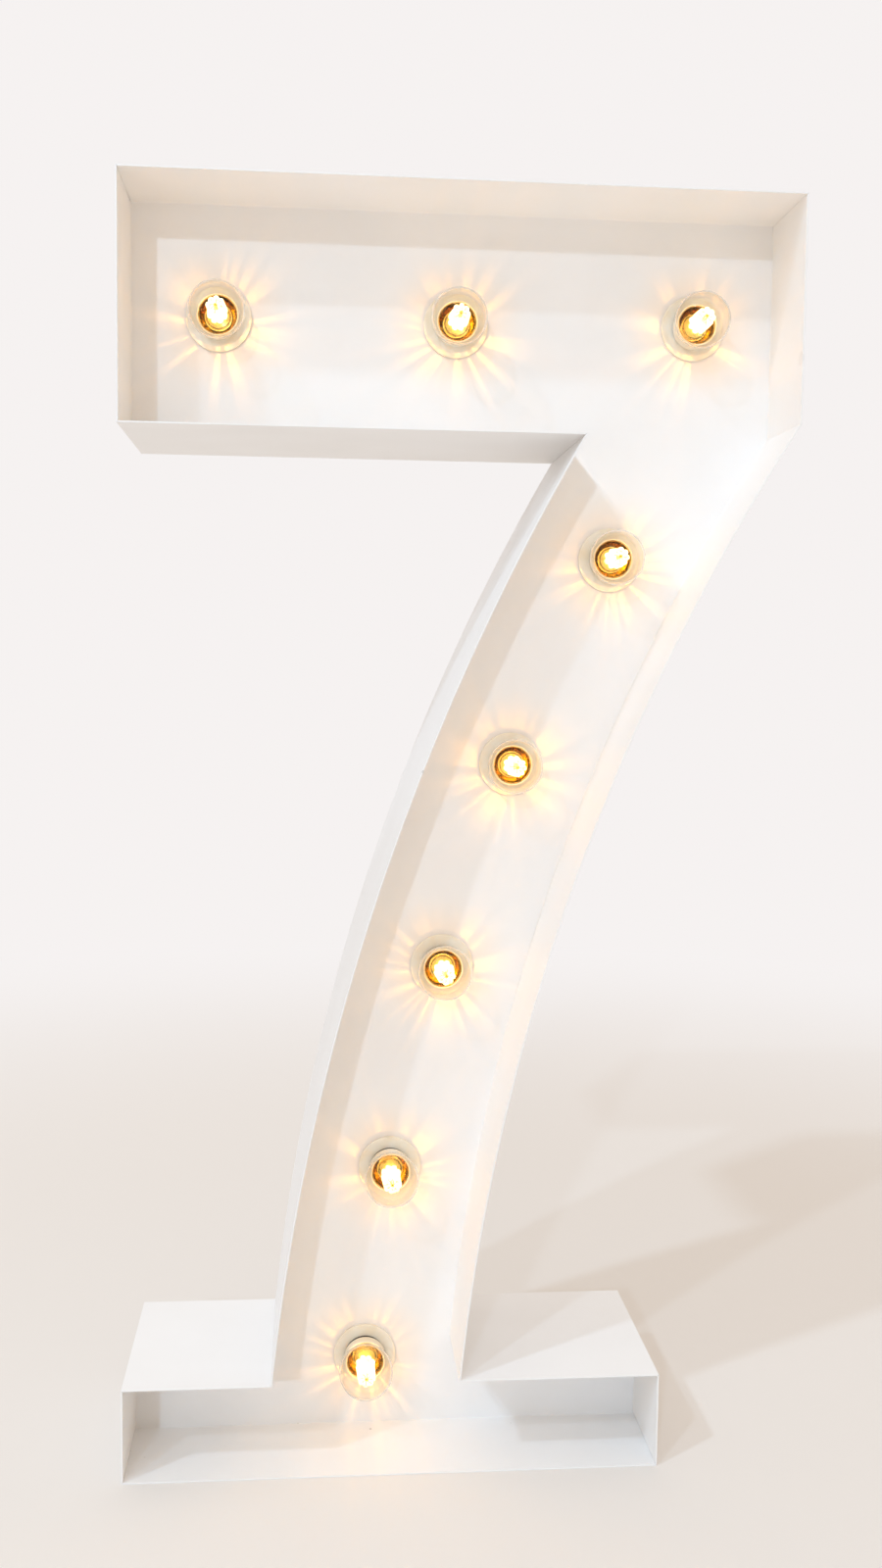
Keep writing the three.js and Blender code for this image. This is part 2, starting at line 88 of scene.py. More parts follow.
# %% [markdown]
# ## Nodes in one line
# A finish is a small network of nodes. One helper adds a node, sets its choices, and fills its sockets
# with a number or with the output of an earlier node. The others stand on it: two values or two
# vectors combined, a distance, a noise, a smooth step from one value to another, and a blend of two
# colours. That keeps each finish short enough to read.


# %% Helpers for nodes
def put(tree, kind, sockets=None, **choices):
    node = tree.nodes.new("ShaderNode" + kind)
    for name, value in choices.items():
        setattr(node, name, value)
    for name, value in (sockets or {}).items():
        if isinstance(value, bpy.types.NodeSocket):
            tree.links.new(value, node.inputs[name])
        else:
            node.inputs[name].default_value = value
    return node


def combine(tree, how, first, second):
    return put(tree, "Math", {0: first, 1: second}, operation=how).outputs[0]


def noise(tree, where, scale, detail=2.0, rough=0.5):
    pattern = {"Vector": where, "Scale": scale, "Detail": detail, "Roughness": rough}
    return put(tree, "TexNoise", pattern).outputs["Fac"]


def between(tree, value, low, high, new_low=0.0, new_high=1.0):
    span = {"Value": value, "From Min": low, "From Max": high, "To Min": new_low, "To Max": new_high}
    return put(tree, "MapRange", span, interpolation_type="SMOOTHSTEP").outputs["Result"]


def combine_vectors(tree, how, first, second):
    return put(tree, "VectorMath", {0: first, 1: second}, operation=how).outputs


def distance(tree, where, place):
    return combine_vectors(tree, "DISTANCE", where, place)["Value"]


def blend_colours(tree, share, first, second):
    return put(tree, "Mix", {0: share, 6: first, 7: second}, data_type="RGBA").outputs[2]


# %% [markdown]
# ## The room
# The world does two jobs. It lights the object from all round, softly, and it is the pale wall that
# the camera, the glass and the metal see. Light Path tells the two apart, so that the wall can be
# nearly white without throwing more light on the paint. The fill has two parts, mixed by how far a ray
# looks upwards: weak warm light from below, as off a floor, and stronger, paler light from above.

# %% Make the world
WALL_COLOUR = (0.92, 0.888, 0.88, 1)
# Each as a colour and a strength
LOW_FILL = ((1.0, 0.83, 0.66, 1), 0.43)
HIGH_FILL = ((0.98, 0.90, 0.83, 1), 1.07)

world = bpy.data.worlds.new("pale_room")
world.use_nodes = True
bpy.context.scene.world = world
room = world.node_tree
room.nodes.clear()
rays = put(room, "LightPath").outputs
straight = combine(room, "MAXIMUM", rays["Is Camera Ray"], rays["Is Glossy Ray"])
seen = combine(room, "MAXIMUM", straight, rays["Is Transmission Ray"])
upwards = put(room, "SeparateXYZ", {0: put(room, "TexCoord").outputs["Generated"]}).outputs["Z"]
share = put(room, "MapRange", {"Value": upwards}).outputs["Result"]
low = put(room, "Background", {"Color": LOW_FILL[0], "Strength": LOW_FILL[1]})
high = put(room, "Background", {"Color": HIGH_FILL[0], "Strength": HIGH_FILL[1]})
fill = put(room, "MixShader", {0: share, 1: low.outputs[0], 2: high.outputs[0]})
wall = put(room, "Background", {"Color": WALL_COLOUR, "Strength": 1.0})
either = put(room, "MixShader", {0: seen, 1: fill.outputs[0], 2: wall.outputs[0]})
put(room, "OutputWorld", {"Surface": either.outputs[0]})
print("world ready, fill from", LOW_FILL[1], "to", HIGH_FILL[1])

# %% [markdown]
# ## The floor
# The numeral stands on a plain pale floor that takes its shadow. Further out the floor turns into the
# colour of the wall, so that no hard line crosses the picture behind the numeral.

# %% Lay the floor
FLOOR_SIZE = 40.0
FLOOR_COLOUR = (0.84, 0.80, 0.76, 1)
FLOOR_GRAIN = 3.0
FADE_START = 0.75
FADE_END = 2.6

floor_shape = bmesh.new()
bmesh.ops.create_grid(floor_shape, x_segments=1, y_segments=1, size=FLOOR_SIZE / 2)
floor_mesh = bpy.data.meshes.new("floor")
floor_shape.to_mesh(floor_mesh)
floor_shape.free()
floor = bpy.data.objects.new("floor", floor_mesh)
bpy.context.scene.collection.objects.link(floor)
floor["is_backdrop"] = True

floor_finish = bpy.data.materials.new("pale_floor")
floor_finish.use_nodes = True
tree = floor_finish.node_tree
tree.nodes.clear()
place = put(tree, "TexCoord").outputs["Object"]
reach = put(tree, "VectorMath", {0: place}, operation="LENGTH").outputs["Value"]
fade = between(tree, reach, FADE_START, FADE_END)
grain = noise(tree, place, FLOOR_GRAIN, 6.0)
rough = put(tree, "MapRange", {"Value": grain, "To Min": 0.6, "To Max": 0.8}).outputs["Result"]
matt = {"Base Color": FLOOR_COLOUR, "Roughness": rough, "Specular IOR Level": 0.2}
near = put(tree, "BsdfPrincipled", matt)
far = put(tree, "Emission", {"Color": WALL_COLOUR, "Strength": 1.0})
far_seen = combine(tree, "MULTIPLY", fade, put(tree, "LightPath").outputs["Is Camera Ray"])
both = put(tree, "MixShader", {0: far_seen, 1: near.outputs[0], 2: far.outputs[0]})
put(tree, "OutputMaterial", {"Surface": both.outputs[0]})
floor_mesh.materials.append(floor_finish)
print("floor laid,", FLOOR_SIZE, "m wide")

# %% [markdown]
# ## Three soft lamps
# On the face of the numeral the rim throws three shades, one inside the other. Each shade is as wide
# as the rim is deep times the slope of one lamp, so the shades say where the lamps hang: all of them
# in front, above and to the left. They hang far off, so that the shades are as wide at the foot as at
# the bar, and a disk lamp that looks small from the object draws a crisp edge.

# %% Hang the studio lamps
LAMP_DISTANCE = 12.0
LAMP_TARGET = Vector((0.0, 0.0, 0.6))
# name: slope to the right, slope down, power in watts, width in metres
STUDIO_LAMPS = {
    "front_lamp": (0.27, 0.38, 226.0, 0.36),
    "middle_lamp": (0.67, 0.97, 175.0, 0.36),
    "high_lamp": (1.30, 1.62, 275.0, 0.50),
}
STUDIO_COLOUR = (0.60, 0.82, 1.04)

for lamp_name, (right, down, power, width) in STUDIO_LAMPS.items():
    travel = Vector((right, 1.0, -down)).normalized()
    lamp_data = bpy.data.lights.new(lamp_name, "AREA")
    lamp_data.shape = "DISK"
    lamp_data.size = width
    lamp_data.energy = power
    lamp_data.color = STUDIO_COLOUR
    lamp = bpy.data.objects.new(lamp_name, lamp_data)
    lamp.location = LAMP_TARGET - travel * LAMP_DISTANCE
    lamp.rotation_euler = travel.to_track_quat("-Z", "Y").to_euler()
    lamp.visible_camera = False
    bpy.context.scene.collection.objects.link(lamp)
    print(lamp_name, "at", tuple(round(v, 2) for v in lamp.location), "with", power, "W")

# %% [markdown]
# ## Lamp places
# Eight lamps stand on the front of the face sheet: three along the bar and five down the stem. Their
# places come first, because their warm light is painted into the paint near them and because one
# holder, globe and light is made for each.

# %% Lamp places
FACE_FRONT_Y = 2.5 * MM
# How far to the right of the middle and how high up, in mm
LAMPS = [
    (-227.03, 1092.6),
    (-1.24, 1093.2),
    (230.76, 1097.4),
    (153.41, 872.04),
    (58.17, 671.04),
    (-7.36, 470.16),
    (-57.23, 266.16),
    (-80.75, 73.08),
]
lamp_places = [Vector((x * MM, FACE_FRONT_Y, z * MM)) for x, z in LAMPS]
print(len(lamp_places), "lamps")

# %% [markdown]
# ## White paint
# The rim and the face are sheet metal with a satin coat. Such paint is never one colour: it varies a
# little in tone and in gloss, has a faint orange peel from the spray gun, wears thin along the rear
# edge, where the numeral is leant and lifted, and is chipped in a few places. Round each lamp a warm
# glow of its light is painted into the colour, and one shallow dent is drawn as a faint grey spot of
# painted shade. Noise on Object coordinates gives the tone, gloss, peel and wear. The chips, the dent
# shade and the painted glow are spots at given places.

# %% Mix the paints
FRONT_Y = -97.5 * MM
REAR_Y = 97.5 * MM


def start_finish(name, **values):
    finish = bpy.data.materials.new(name)
    finish.use_nodes = True
    shader = finish.node_tree.nodes["Principled BSDF"]
    for socket, value in values.items():
        shader.inputs[socket.replace("_", " ")].default_value = value
    spots = put(finish.node_tree, "TexCoord")
    return finish, finish.node_tree, shader, spots.outputs["Object"]


def add_bump(tree, shader, layers):
    below = None
    for height, strength, tall in layers:
        sockets = {"Height": height, "Strength": strength, "Distance": tall}
        if below is not None:
            sockets["Normal"] = below
        below = put(tree, "Bump", sockets).outputs["Normal"]
    tree.links.new(below, shader.inputs["Normal"])


# Warm light of the lamps painted into the paint round each lamp, full at one distance from a lamp and
# gone at the other
PAINTED_GLOW_FROM = 26 * MM
PAINTED_GLOW_TO = 76 * MM
PAINTED_GLOW = (0.93, 0.85, 0.77, 1)

# How far in from the rear edge the paint is rubbed
EDGE_WEAR = 1.0 * MM

# Scale of each noise: the higher, the finer
WAVES = 6.5
CLOUDS = 7.0
GLOSS_PATCHES = 24.0
RUBBED_PATCHES = 46.0
SPECKS = 420.0
PEEL = 520.0

# Where a step starts and ends in its noise, then what it gives at both
SPECK_STEP = (0.74, 0.80, 0.0, 0.35)
RUBBED_STEP = (0.5, 0.7, 0.05, 0.4)
GLOSS_STEP = (0.25, 0.75, 0.34, 0.48)

# How ragged the edge of each spot is, and how far past its radius, in mm, it starts to fade and is gone
SPOT_RAGGED = 1.6 * MM
SPOT_FULL = 0.5
SPOT_GONE = 1.1

# Small chips, and one faint grey spot of painted shade for a shallow dent in the rim: place in mm,
# radius in mm, how much bare tone shows
CHIPS_AND_DENT_SHADE = [
    ((-74.8, -12.7, 1.5), 1.3, 0.9),
    ((67.5, -10.1, 1.5), 0.9, 0.3),
    ((-147.5, 2.5, 1.5), 0.9, 0.5),
    ((-309.5, -39.5, 1.0), 1.0, 0.6),
    ((-294.4, -52.4, 1.5), 0.9, 0.4),
    ((-35.6, -97.5, 669.7), 1.2, 0.6),
    ((-146.0, -91.0, 281.5), 1.0, 0.6),
    # painted shade of a shallow dent, not a chip
    ((309.5, -92.0, 1052.5), 6.5, 0.16),
]


def chip_and_dent_shade(tree, where, wobble):
    total = None
    for place, radius, share in CHIPS_AND_DENT_SHADE:
        middle = [value * MM for value in place]
        edge = {0: wobble, 1: SPOT_RAGGED, 2: distance(tree, where, middle)}
        ragged = put(tree, "Math", edge, operation="MULTIPLY_ADD").outputs[0]
        spot = between(tree, ragged, (radius + SPOT_FULL) * MM, (radius + SPOT_GONE) * MM, share, 0.0)
        total = combine(tree, "MAXIMUM", spot, spot if total is None else total)
    return total


def painted_glow_share(tree, where):
    nearest = None
    for place in lamp_places:
        gap = distance(tree, where, place)
        nearest = combine(tree, "MINIMUM", gap, gap if nearest is None else nearest)
    return between(tree, nearest, PAINTED_GLOW_FROM, PAINTED_GLOW_TO, 1.0, 0.0)


def mix_paint(name, light, dark, worn, orange_peel):
    finish, tree, shader, where = start_finish(name, Specular_IOR_Level=0.45)
    cloud = between(tree, noise(tree, where, CLOUDS, 4.0), 0.3, 0.7)
    tone = blend_colours(tree, cloud, dark, light)
    # painted light: the warm glow of the lamps round each lamp
    tone = blend_colours(tree, painted_glow_share(tree, where), tone, PAINTED_GLOW)
    fine = noise(tree, where, SPECKS, 3.0, 0.7)
    specks = between(tree, fine, *SPECK_STEP)
    tone = blend_colours(tree, specks, tone, worn)
    depth = put(tree, "SeparateXYZ", {0: where}).outputs["Y"]
    at_edge = between(tree, depth, REAR_Y - EDGE_WEAR, REAR_Y - 0.1 * MM)
    rubbed = between(tree, noise(tree, where, RUBBED_PATCHES, 5.0, 0.65), *RUBBED_STEP)
    edge_bare = combine(tree, "MULTIPLY", at_edge, rubbed)
    # chips, and the painted shade of the dent
    bare_and_dent_shade = combine(tree, "MAXIMUM", edge_bare, chip_and_dent_shade(tree, where, fine))
    tone = blend_colours(tree, bare_and_dent_shade, tone, worn)
    tree.links.new(tone, shader.inputs["Base Color"])
    gloss = between(tree, noise(tree, where, GLOSS_PATCHES, 3.0), *GLOSS_STEP)
    tree.links.new(gloss, shader.inputs["Roughness"])
    peel = noise(tree, where, PEEL, 2.0)
    waves = noise(tree, where, WAVES, 1.0)
    add_bump(tree, shader, [(waves, 0.5, 1.6 * MM), (peel, orange_peel, 0.06 * MM)])
    return finish


white_paint = mix_paint(
    "white_paint",
    light=(0.93, 0.918, 0.908, 1),
    dark=(0.905, 0.89, 0.877, 1),
    worn=(0.56, 0.53, 0.49, 1),
    orange_peel=0.45,
)
cover_paint = mix_paint(
    "cover_paint",
    light=(0.90, 0.89, 0.88, 1),
    dark=(0.86, 0.85, 0.84, 1),
    worn=(0.5, 0.48, 0.45, 1),
    orange_peel=0.7,
)
print("paints mixed")

# %% [markdown]
# ## Plastics
# The lampholders are cream plastic that has yellowed unevenly. The power inlet is black and finely
# textured, the terminal box is grey, the leads have a white sheath, and a dark ring under each collar
# is painted shade in the gap there. One recipe serves them all: two tones in clouds, a few scuffs,
# uneven gloss and a fine grain. A table gives what differs.


# %% Mould the plastics
MOULD_CLOUDS = 60.0
SHINE = 90.0
SCUFFS = 260.0


def mould_plastic(name, light, dark, gloss_low, gloss_high, grain, depth_mm):
    finish, tree, shader, where = start_finish(name, Specular_IOR_Level=0.5)
    cloud = between(tree, noise(tree, where, MOULD_CLOUDS, 4.0), 0.3, 0.7)
    tone = blend_colours(tree, cloud, dark, light)
    scuffs = between(tree, noise(tree, where, SCUFFS, 4.0, 0.7), 0.70, 0.80, 0.0, 0.5)
    tree.links.new(blend_colours(tree, scuffs, tone, dark), shader.inputs["Base Color"])
    gloss = between(tree, noise(tree, where, SHINE, 3.0), 0.3, 0.7, gloss_low, gloss_high)
    tree.links.new(gloss, shader.inputs["Roughness"])
    add_bump(tree, shader, [(noise(tree, where, grain, 2.0), 0.5, depth_mm * MM)])
    return finish


# name: light tone, dark tone, least and most roughness, scale of the grain, its depth in mm
PLASTICS = {
    "holder_plastic": ((0.95, 0.88, 0.75, 1), (0.93, 0.80, 0.60, 1), 0.28, 0.42, 900.0, 0.03),
    "black_plastic": ((0.022, 0.022, 0.024, 1), (0.012, 0.012, 0.013, 1), 0.42, 0.6, 2200.0, 0.06),
    "rocker_plastic": ((0.03, 0.03, 0.032, 1), (0.018, 0.018, 0.02, 1), 0.25, 0.4, 1500.0, 0.02),
    "grey_plastic": ((0.36, 0.37, 0.37, 1), (0.29, 0.30, 0.30, 1), 0.45, 0.62, 1600.0, 0.06),
    "cable_sheath": ((0.78, 0.77, 0.74, 1), (0.68, 0.66, 0.62, 1), 0.45, 0.6, 700.0, 0.05),
    # painted shade: the dark ring in the gap under each collar
    "painted_gap_shade": ((0.05, 0.03, 0.018, 1), (0.02, 0.012, 0.008, 1), 0.6, 0.8, 900.0, 0.05),
}
holder_plastic, black_plastic, rocker_plastic, grey_plastic, cable_sheath, painted_gap_shade = (
    mould_plastic(name, *values) for name, values in PLASTICS.items()
)
print("plastics moulded")

# %% [markdown]
# ## Metals
# Inside each lampholder a brass shell takes the screw cap. It is polished, and heat has browned it in
# streaks that run up from the thread. Noise that is stretched along the lamp's axis draws the streaks.
# Painted shade darkens the upper side of the shell, a little towards the left: it is found by its
# normal, which looks down there. Caps, pins and screws share the recipe, without the painted shade.


# %% Polish the metals
STREAKS = 240.0
PATCHES = 70.0
ALONG_AXIS = 0.16
STAIN_STEP = 0.22
SHADED_SIDE = (0.42, 0.0, -0.91)


def polish_metal(name, bright, brown, brown_from, gloss_low, gloss_high, side_shade):
    finish, tree, shader, where = start_finish(name, Metallic=1.0)
    stretch = put(tree, "Mapping", {"Vector": where, "Scale": (1.0, ALONG_AXIS, 1.0)}).outputs[0]
    streaks = noise(tree, stretch, STREAKS, 4.0, 0.6)
    both = combine(tree, "ADD", streaks, noise(tree, where, PATCHES, 2.0))
    stain_and_shade = between(tree, both, brown_from, brown_from + STAIN_STEP)
    # painted shade on the upper side of the shell, found by its normal
    if side_shade:
        facing = put(tree, "NewGeometry").outputs["Normal"]
        lean = combine_vectors(tree, "DOT_PRODUCT", facing, SHADED_SIDE)["Value"]
        shaded_upper = combine(tree, "MULTIPLY", between(tree, lean, -0.02, 0.35), side_shade)
        stain_and_shade = combine(tree, "MAXIMUM", stain_and_shade, shaded_upper)
    tree.links.new(blend_colours(tree, stain_and_shade, bright, brown), shader.inputs["Base Color"])
    tree.links.new(between(tree, both, 0.7, 1.3, gloss_low, gloss_high), shader.inputs["Roughness"])
    add_bump(tree, shader, [(streaks, 0.3, 0.08 * MM)])
    return finish


# name: bright tone, brown tone, where the brown starts, least and most roughness, strength of the
# painted shade on the upper side
METALS = {
    "brass_shell": ((1.0, 0.76, 0.14, 1), (0.33, 0.19, 0.025, 1), 1.0, 0.12, 0.34, 0.9),
    "nickel_cap": ((0.97, 0.74, 0.24, 1), (0.42, 0.26, 0.07, 1), 1.16, 0.18, 0.40, 0.0),
    "zinc_metal": ((0.62, 0.62, 0.62, 1), (0.36, 0.34, 0.31, 1), 1.12, 0.25, 0.45, 0.0),
}
brass_shell, nickel_cap, zinc_metal = (polish_metal(name, *values) for name, values in METALS.items())
print("metals polished")

# %% [markdown]
# ## Glass
# A globe is clear glass one millimetre thick. It bends light less here than real glass does, because a
# blown wall this thin shows little but its outline. Light that comes through a real globe keeps going,
# so for light on its way to the paint the glass gives way to a filter: nearly clear where the light
# meets the glass squarely, darker where it grazes it. That draws faint oval shadows.


# %% Blow the glass
GLASS_IOR = 1.22
GLASS_TINT = (1.0, 0.965, 0.90, 1)
FILTER_CLEAR = (0.955, 0.945, 0.93, 1)
FILTER_EDGE = (0.28, 0.26, 0.25, 1)
GLASS_SMEARS = 90.0
GLASS_RIPPLES = 45.0


def blow_glass(name):
    look = {"Base_Color": GLASS_TINT, "Transmission_Weight": 1.0, "IOR": GLASS_IOR}
    finish, tree, shader, where = start_finish(name, **look)
    smears = between(tree, noise(tree, where, GLASS_SMEARS, 4.0), 0.35, 0.75, 0.0, 0.05)
    tree.links.new(smears, shader.inputs["Roughness"])
    add_bump(tree, shader, [(noise(tree, where, GLASS_RIPPLES, 1.0), 0.08, 0.5 * MM)])
    slant = put(tree, "LayerWeight", {"Blend": 0.5}).outputs["Facing"]
    shade = blend_colours(tree, between(tree, slant, 0.6, 0.92), FILTER_CLEAR, FILTER_EDGE)
    clear = put(tree, "BsdfTransparent", {"Color": shade})
    rays = put(tree, "LightPath").outputs
    passing = combine(tree, "MAXIMUM", rays["Is Shadow Ray"], rays["Is Diffuse Ray"])
    either = put(tree, "MixShader", {0: passing, 1: shader.outputs[0], 2: clear.outputs[0]})
    tree.links.new(either.outputs[0], tree.nodes["Material Output"].inputs["Surface"])
    return finish


clear_glass = blow_glass("clear_glass")
print("glass blown")

# %% [markdown]
# ## Lit filaments
# Each filament is a rod of small lamps under a yellow coat. Lit, it is pale yellow over each small
# lamp and amber between them, and so bright that a picture shows it nearly white.


# %% Light the filaments
FILAMENT_COAT = (0.9, 0.6, 0.2, 1)
FILAMENT_HOT = (1.0, 0.9, 0.62, 1)
FILAMENT_WARM = (1.0, 0.68, 0.24, 1)
FILAMENT_STRENGTH = 3.0
FILAMENT_BEADS = 420.0


def light_filament(name):
    finish, tree, shader, where = start_finish(name, Roughness=0.5, Base_Color=FILAMENT_COAT)
    beads = between(tree, noise(tree, where, FILAMENT_BEADS, 2.0), 0.4, 0.62)
    glow = blend_colours(tree, beads, FILAMENT_WARM, FILAMENT_HOT)
    tree.links.new(glow, shader.inputs["Emission Color"])
    shader.inputs["Emission Strength"].default_value = FILAMENT_STRENGTH
    return finish


filament_glow = light_filament("filament_glow")
print("filaments lit")

# %% [markdown]
# ## Shapes and how they join the frame
# Every piece is shaped in a bmesh, in metres, where it belongs in the frame. `outwards` joins its
# faces and turns them outwards, and `round_edges` takes the knife edge off. `finish_piece` makes the
# mesh, gives it a finish and lets it ride on a body of the CAD model, so that it follows the joints.

# %% Helpers for shapes
ROUND_FROM = math.radians(30)
SHADE_SHARP = math.radians(40)


def is_sharp(edge, angle):
    return edge.is_manifold and edge.calc_face_angle(0) > angle


def round_edges(shape, width, segments=2):
    bmesh.ops.bevel(
        shape,
        geom=[edge for edge in shape.edges if is_sharp(edge, ROUND_FROM)],
        offset=width,
        segments=segments,
        profile=0.5,
        affect="EDGES",
        clamp_overlap=True,
        material=-1,
    )


def outwards(shape):
    bmesh.ops.remove_doubles(shape, verts=shape.verts, dist=1e-6)
    bmesh.ops.recalc_face_normals(shape, faces=shape.faces)


def push_faces(shape, faces, way):
    pushed = bmesh.ops.extrude_face_region(shape, geom=faces)["geom"]
    moved = [item for item in pushed if isinstance(item, bmesh.types.BMVert)]
    bmesh.ops.translate(shape, verts=moved, vec=way)


def finish_piece(shape, name, body, finishes, stands_for=()):
    for face in shape.faces:
        face.smooth = True
    for edge in shape.edges:
        edge.smooth = not is_sharp(edge, SHADE_SHARP)
    mesh = bpy.data.meshes.new(name)
    shape.to_mesh(mesh)
    shape.free()
    for finish in finishes:
        mesh.materials.append(finish)
    piece = bpy.data.objects.new(name, mesh)
    bpy.context.scene.collection.objects.link(piece)
    even = piece.modifiers.new("even_shading", "WEIGHTED_NORMAL")
    even.keep_sharp = True
    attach(piece, body)
    if stands_for:
        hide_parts(*stands_for)
    return piece


print("helpers ready")

# %% [markdown]
# ## The outline of the seven
# The numeral has eleven corners. Two of its sides are arcs: the outer and the inner edge of the stem.
# The same numbers drive the CAD model. A corner can be moved inwards by an inset, which gives the
# inside of the rim and the edge of the face without drawing them again.

# %% Corners and arcs
TALL = 1200 * MM
WIDE = 622 * MM
BAR_LEFT = 222 * MM
BAR_RIGHT = 207.5 * MM
NOTCH_FROM_RIGHT = 201.5 * MM
FOOT_TALL = 91 * MM
FOOT_WIDE = 509 * MM
STEM_FROM_FOOT = 138.5 * MM
STEM_WIDE = 179.5 * MM
OUTER_RADIUS = 2035 * MM
INNER_RADIUS = 2221.5 * MM

left_x = -WIDE / 2
right_x = WIDE / 2
stem_left_x = left_x + STEM_FROM_FOOT
stem_right_x = stem_left_x + STEM_WIDE
foot_right_x = left_x + FOOT_WIDE
notch_x = right_x - NOTCH_FROM_RIGHT
bend_z = TALL - BAR_RIGHT
under_z = TALL - BAR_LEFT


def arc_centre(low, high, radius):
    chord = high - low
    across = Vector((chord.y, -chord.x)).normalized()
    return (low + high) / 2 + across * math.sqrt(radius**2 - chord.length_squared / 4)


outer_centre = arc_centre(Vector((stem_right_x, FOOT_TALL)), Vector((right_x, bend_z)), OUTER_RADIUS)
inner_centre = arc_centre(Vector((stem_left_x, FOOT_TALL)), Vector((notch_x, under_z)), INNER_RADIUS)


def outer_x(z, inset):
    return outer_centre.x - math.sqrt((OUTER_RADIUS + inset) ** 2 - (z - outer_centre.y) ** 2)


def inner_x(z, inset):
    return inner_centre.x - math.sqrt((INNER_RADIUS - inset) ** 2 - (z - inner_centre.y) ** 2)


def corner_places(inset):
    ledge = FOOT_TALL - inset
    under = under_z + inset
    across = outer_centre.x - right_x + inset
    bend = outer_centre.y + math.sqrt((OUTER_RADIUS + inset) ** 2 - across**2)
    places = [
        (left_x + inset, TALL - inset),
        (right_x - inset, TALL - inset),
        (right_x - inset, bend),
        (outer_x(ledge, inset), ledge),
        (foot_right_x - inset, ledge),
        (foot_right_x - inset, inset),
        (left_x + inset, inset),
        (left_x + inset, ledge),
        (inner_x(ledge, inset), ledge),
        (inner_x(under, inset), under),
        (left_x + inset, under),
    ]
    return [Vector(place) for place in places]


RETURNS = [
    "return_top",
    "return_right",
    "return_curve_outer",
    "foot_top_right",
    "foot_end_right",
    "foot_bottom",
    "foot_end_left",
    "foot_top_left",
    "return_curve_inner",
    "bar_underside",
    "return_left",
]
ARCS = {"return_curve_outer": (outer_centre, 1), "return_curve_inner": (inner_centre, -1)}
print("corners:", [tuple(round(v, 3) for v in place) for place in corner_places(0)])

# %% [markdown]
# ## The rim
# Each side of the rim is a strip of 1.5 mm sheet, 195 mm deep, with two narrow ledges inside: one that
# the face rests on and one for the rear cover. In front of the face runs a thin slanted bead of filler,
# which catches the light as a fine line. All sides have the same section, so one section is drawn, then
# pushed along a straight side or spun round the centre of an arc. Two flat cuts then mitre its ends, as
# a metalworker would, and a fine rounding takes the knife edge off.

# %% Fold the rim
SHEET = 1.5 * MM
FACE_REAR_Y = 4.0 * MM
COVER_FRONT_Y = 86.3 * MM
COVER_REAR_Y = 87.5 * MM
FIT_GAP = 0.3 * MM
LEDGE_EDGE = 13.5 * MM
LEDGE_SHEET = 1.5 * MM
BEAD = 0.9 * MM
BEAD_GAP = 0.02 * MM
OVERLENGTH = 30 * MM
ARC_STEPS = 96
EDGE_ROUNDING = 0.3 * MM
SEAM = 0.03 * MM

face_ledge = FACE_REAR_Y + FIT_GAP
cover_ledge = COVER_FRONT_Y - FIT_GAP - LEDGE_SHEET
# The section as inset and depth, round from the outer front edge
RIM_SECTION = [
    (0, FRONT_Y),
    (SHEET, FRONT_Y),
    (SHEET, FACE_FRONT_Y - BEAD),
    (SHEET + BEAD, FACE_FRONT_Y - BEAD_GAP),
    (SHEET, FACE_FRONT_Y - BEAD_GAP),
    (SHEET, face_ledge),
    (LEDGE_EDGE, face_ledge),
    (LEDGE_EDGE, face_ledge + LEDGE_SHEET),
    (SHEET, face_ledge + LEDGE_SHEET),
    (SHEET, cover_ledge),
    (LEDGE_EDGE, cover_ledge),
    (LEDGE_EDGE, cover_ledge + LEDGE_SHEET),
    (SHEET, cover_ledge + LEDGE_SHEET),
    (SHEET, REAR_Y),
    (0, REAR_Y),
]


def section_face(shape, corner, inward):
    ring = [
        shape.verts.new((corner.x + inward.x * inset, depth, corner.y + inward.y * inset))
        for inset, depth in RIM_SECTION
    ]
    return shape.faces.new(ring)


def push_straight(shape, start, end):
    along = (end - start).normalized()
    corner = start - along * OVERLENGTH
    face = section_face(shape, corner, Vector((along.y, -along.x)))
    length = (end - start).length + 2 * OVERLENGTH
    push_faces(shape, [face], (along.x * length, 0, along.y * length))


def arc_turn(start, end, centre):
    first = math.atan2(start.y - centre.y, start.x - centre.x)
    last = math.atan2(end.y - centre.y, end.x - centre.x)
    return first, (last - first + math.pi) % (2 * math.pi) - math.pi


def spin_round(shape, spun, centre, sweep):
    bmesh.ops.spin(
        shape,
        geom=spun,
        cent=(centre.x, 0, centre.y),
        axis=(0, -1, 0),
        angle=sweep,
        steps=ARC_STEPS,
        use_merge=False,
    )


def spin_arc(shape, start, end, centre, side):
    spare = OVERLENGTH / (start - centre).length
    first, sweep = arc_turn(start, end, centre)
    first -= math.copysign(spare, sweep)
    sweep += math.copysign(2 * spare, sweep)
    outward = Vector((math.cos(first), math.sin(first)))
    corner = centre + outward * (start - centre).length
    face = section_face(shape, corner, outward * side)
    spin_round(shape, [face], centre, sweep)


def mitre(shape, corner, inside_corner, keep_towards):
    line = (inside_corner - corner).normalized()
    across = Vector((line.y, -line.x))
    if across.dot(keep_towards - corner) > 0:
        across.negate()
    place = corner - across * SEAM
    bmesh.ops.bisect_plane(
        shape,
        geom=shape.verts[:] + shape.edges[:] + shape.faces[:],
        dist=1e-7,
        plane_co=(place.x, 0, place.y),
        plane_no=(across.x, 0, across.y),
        clear_outer=True,
    )
    open_edges = [edge for edge in shape.edges if edge.is_boundary]
    bmesh.ops.holes_fill(shape, edges=open_edges, sides=0)


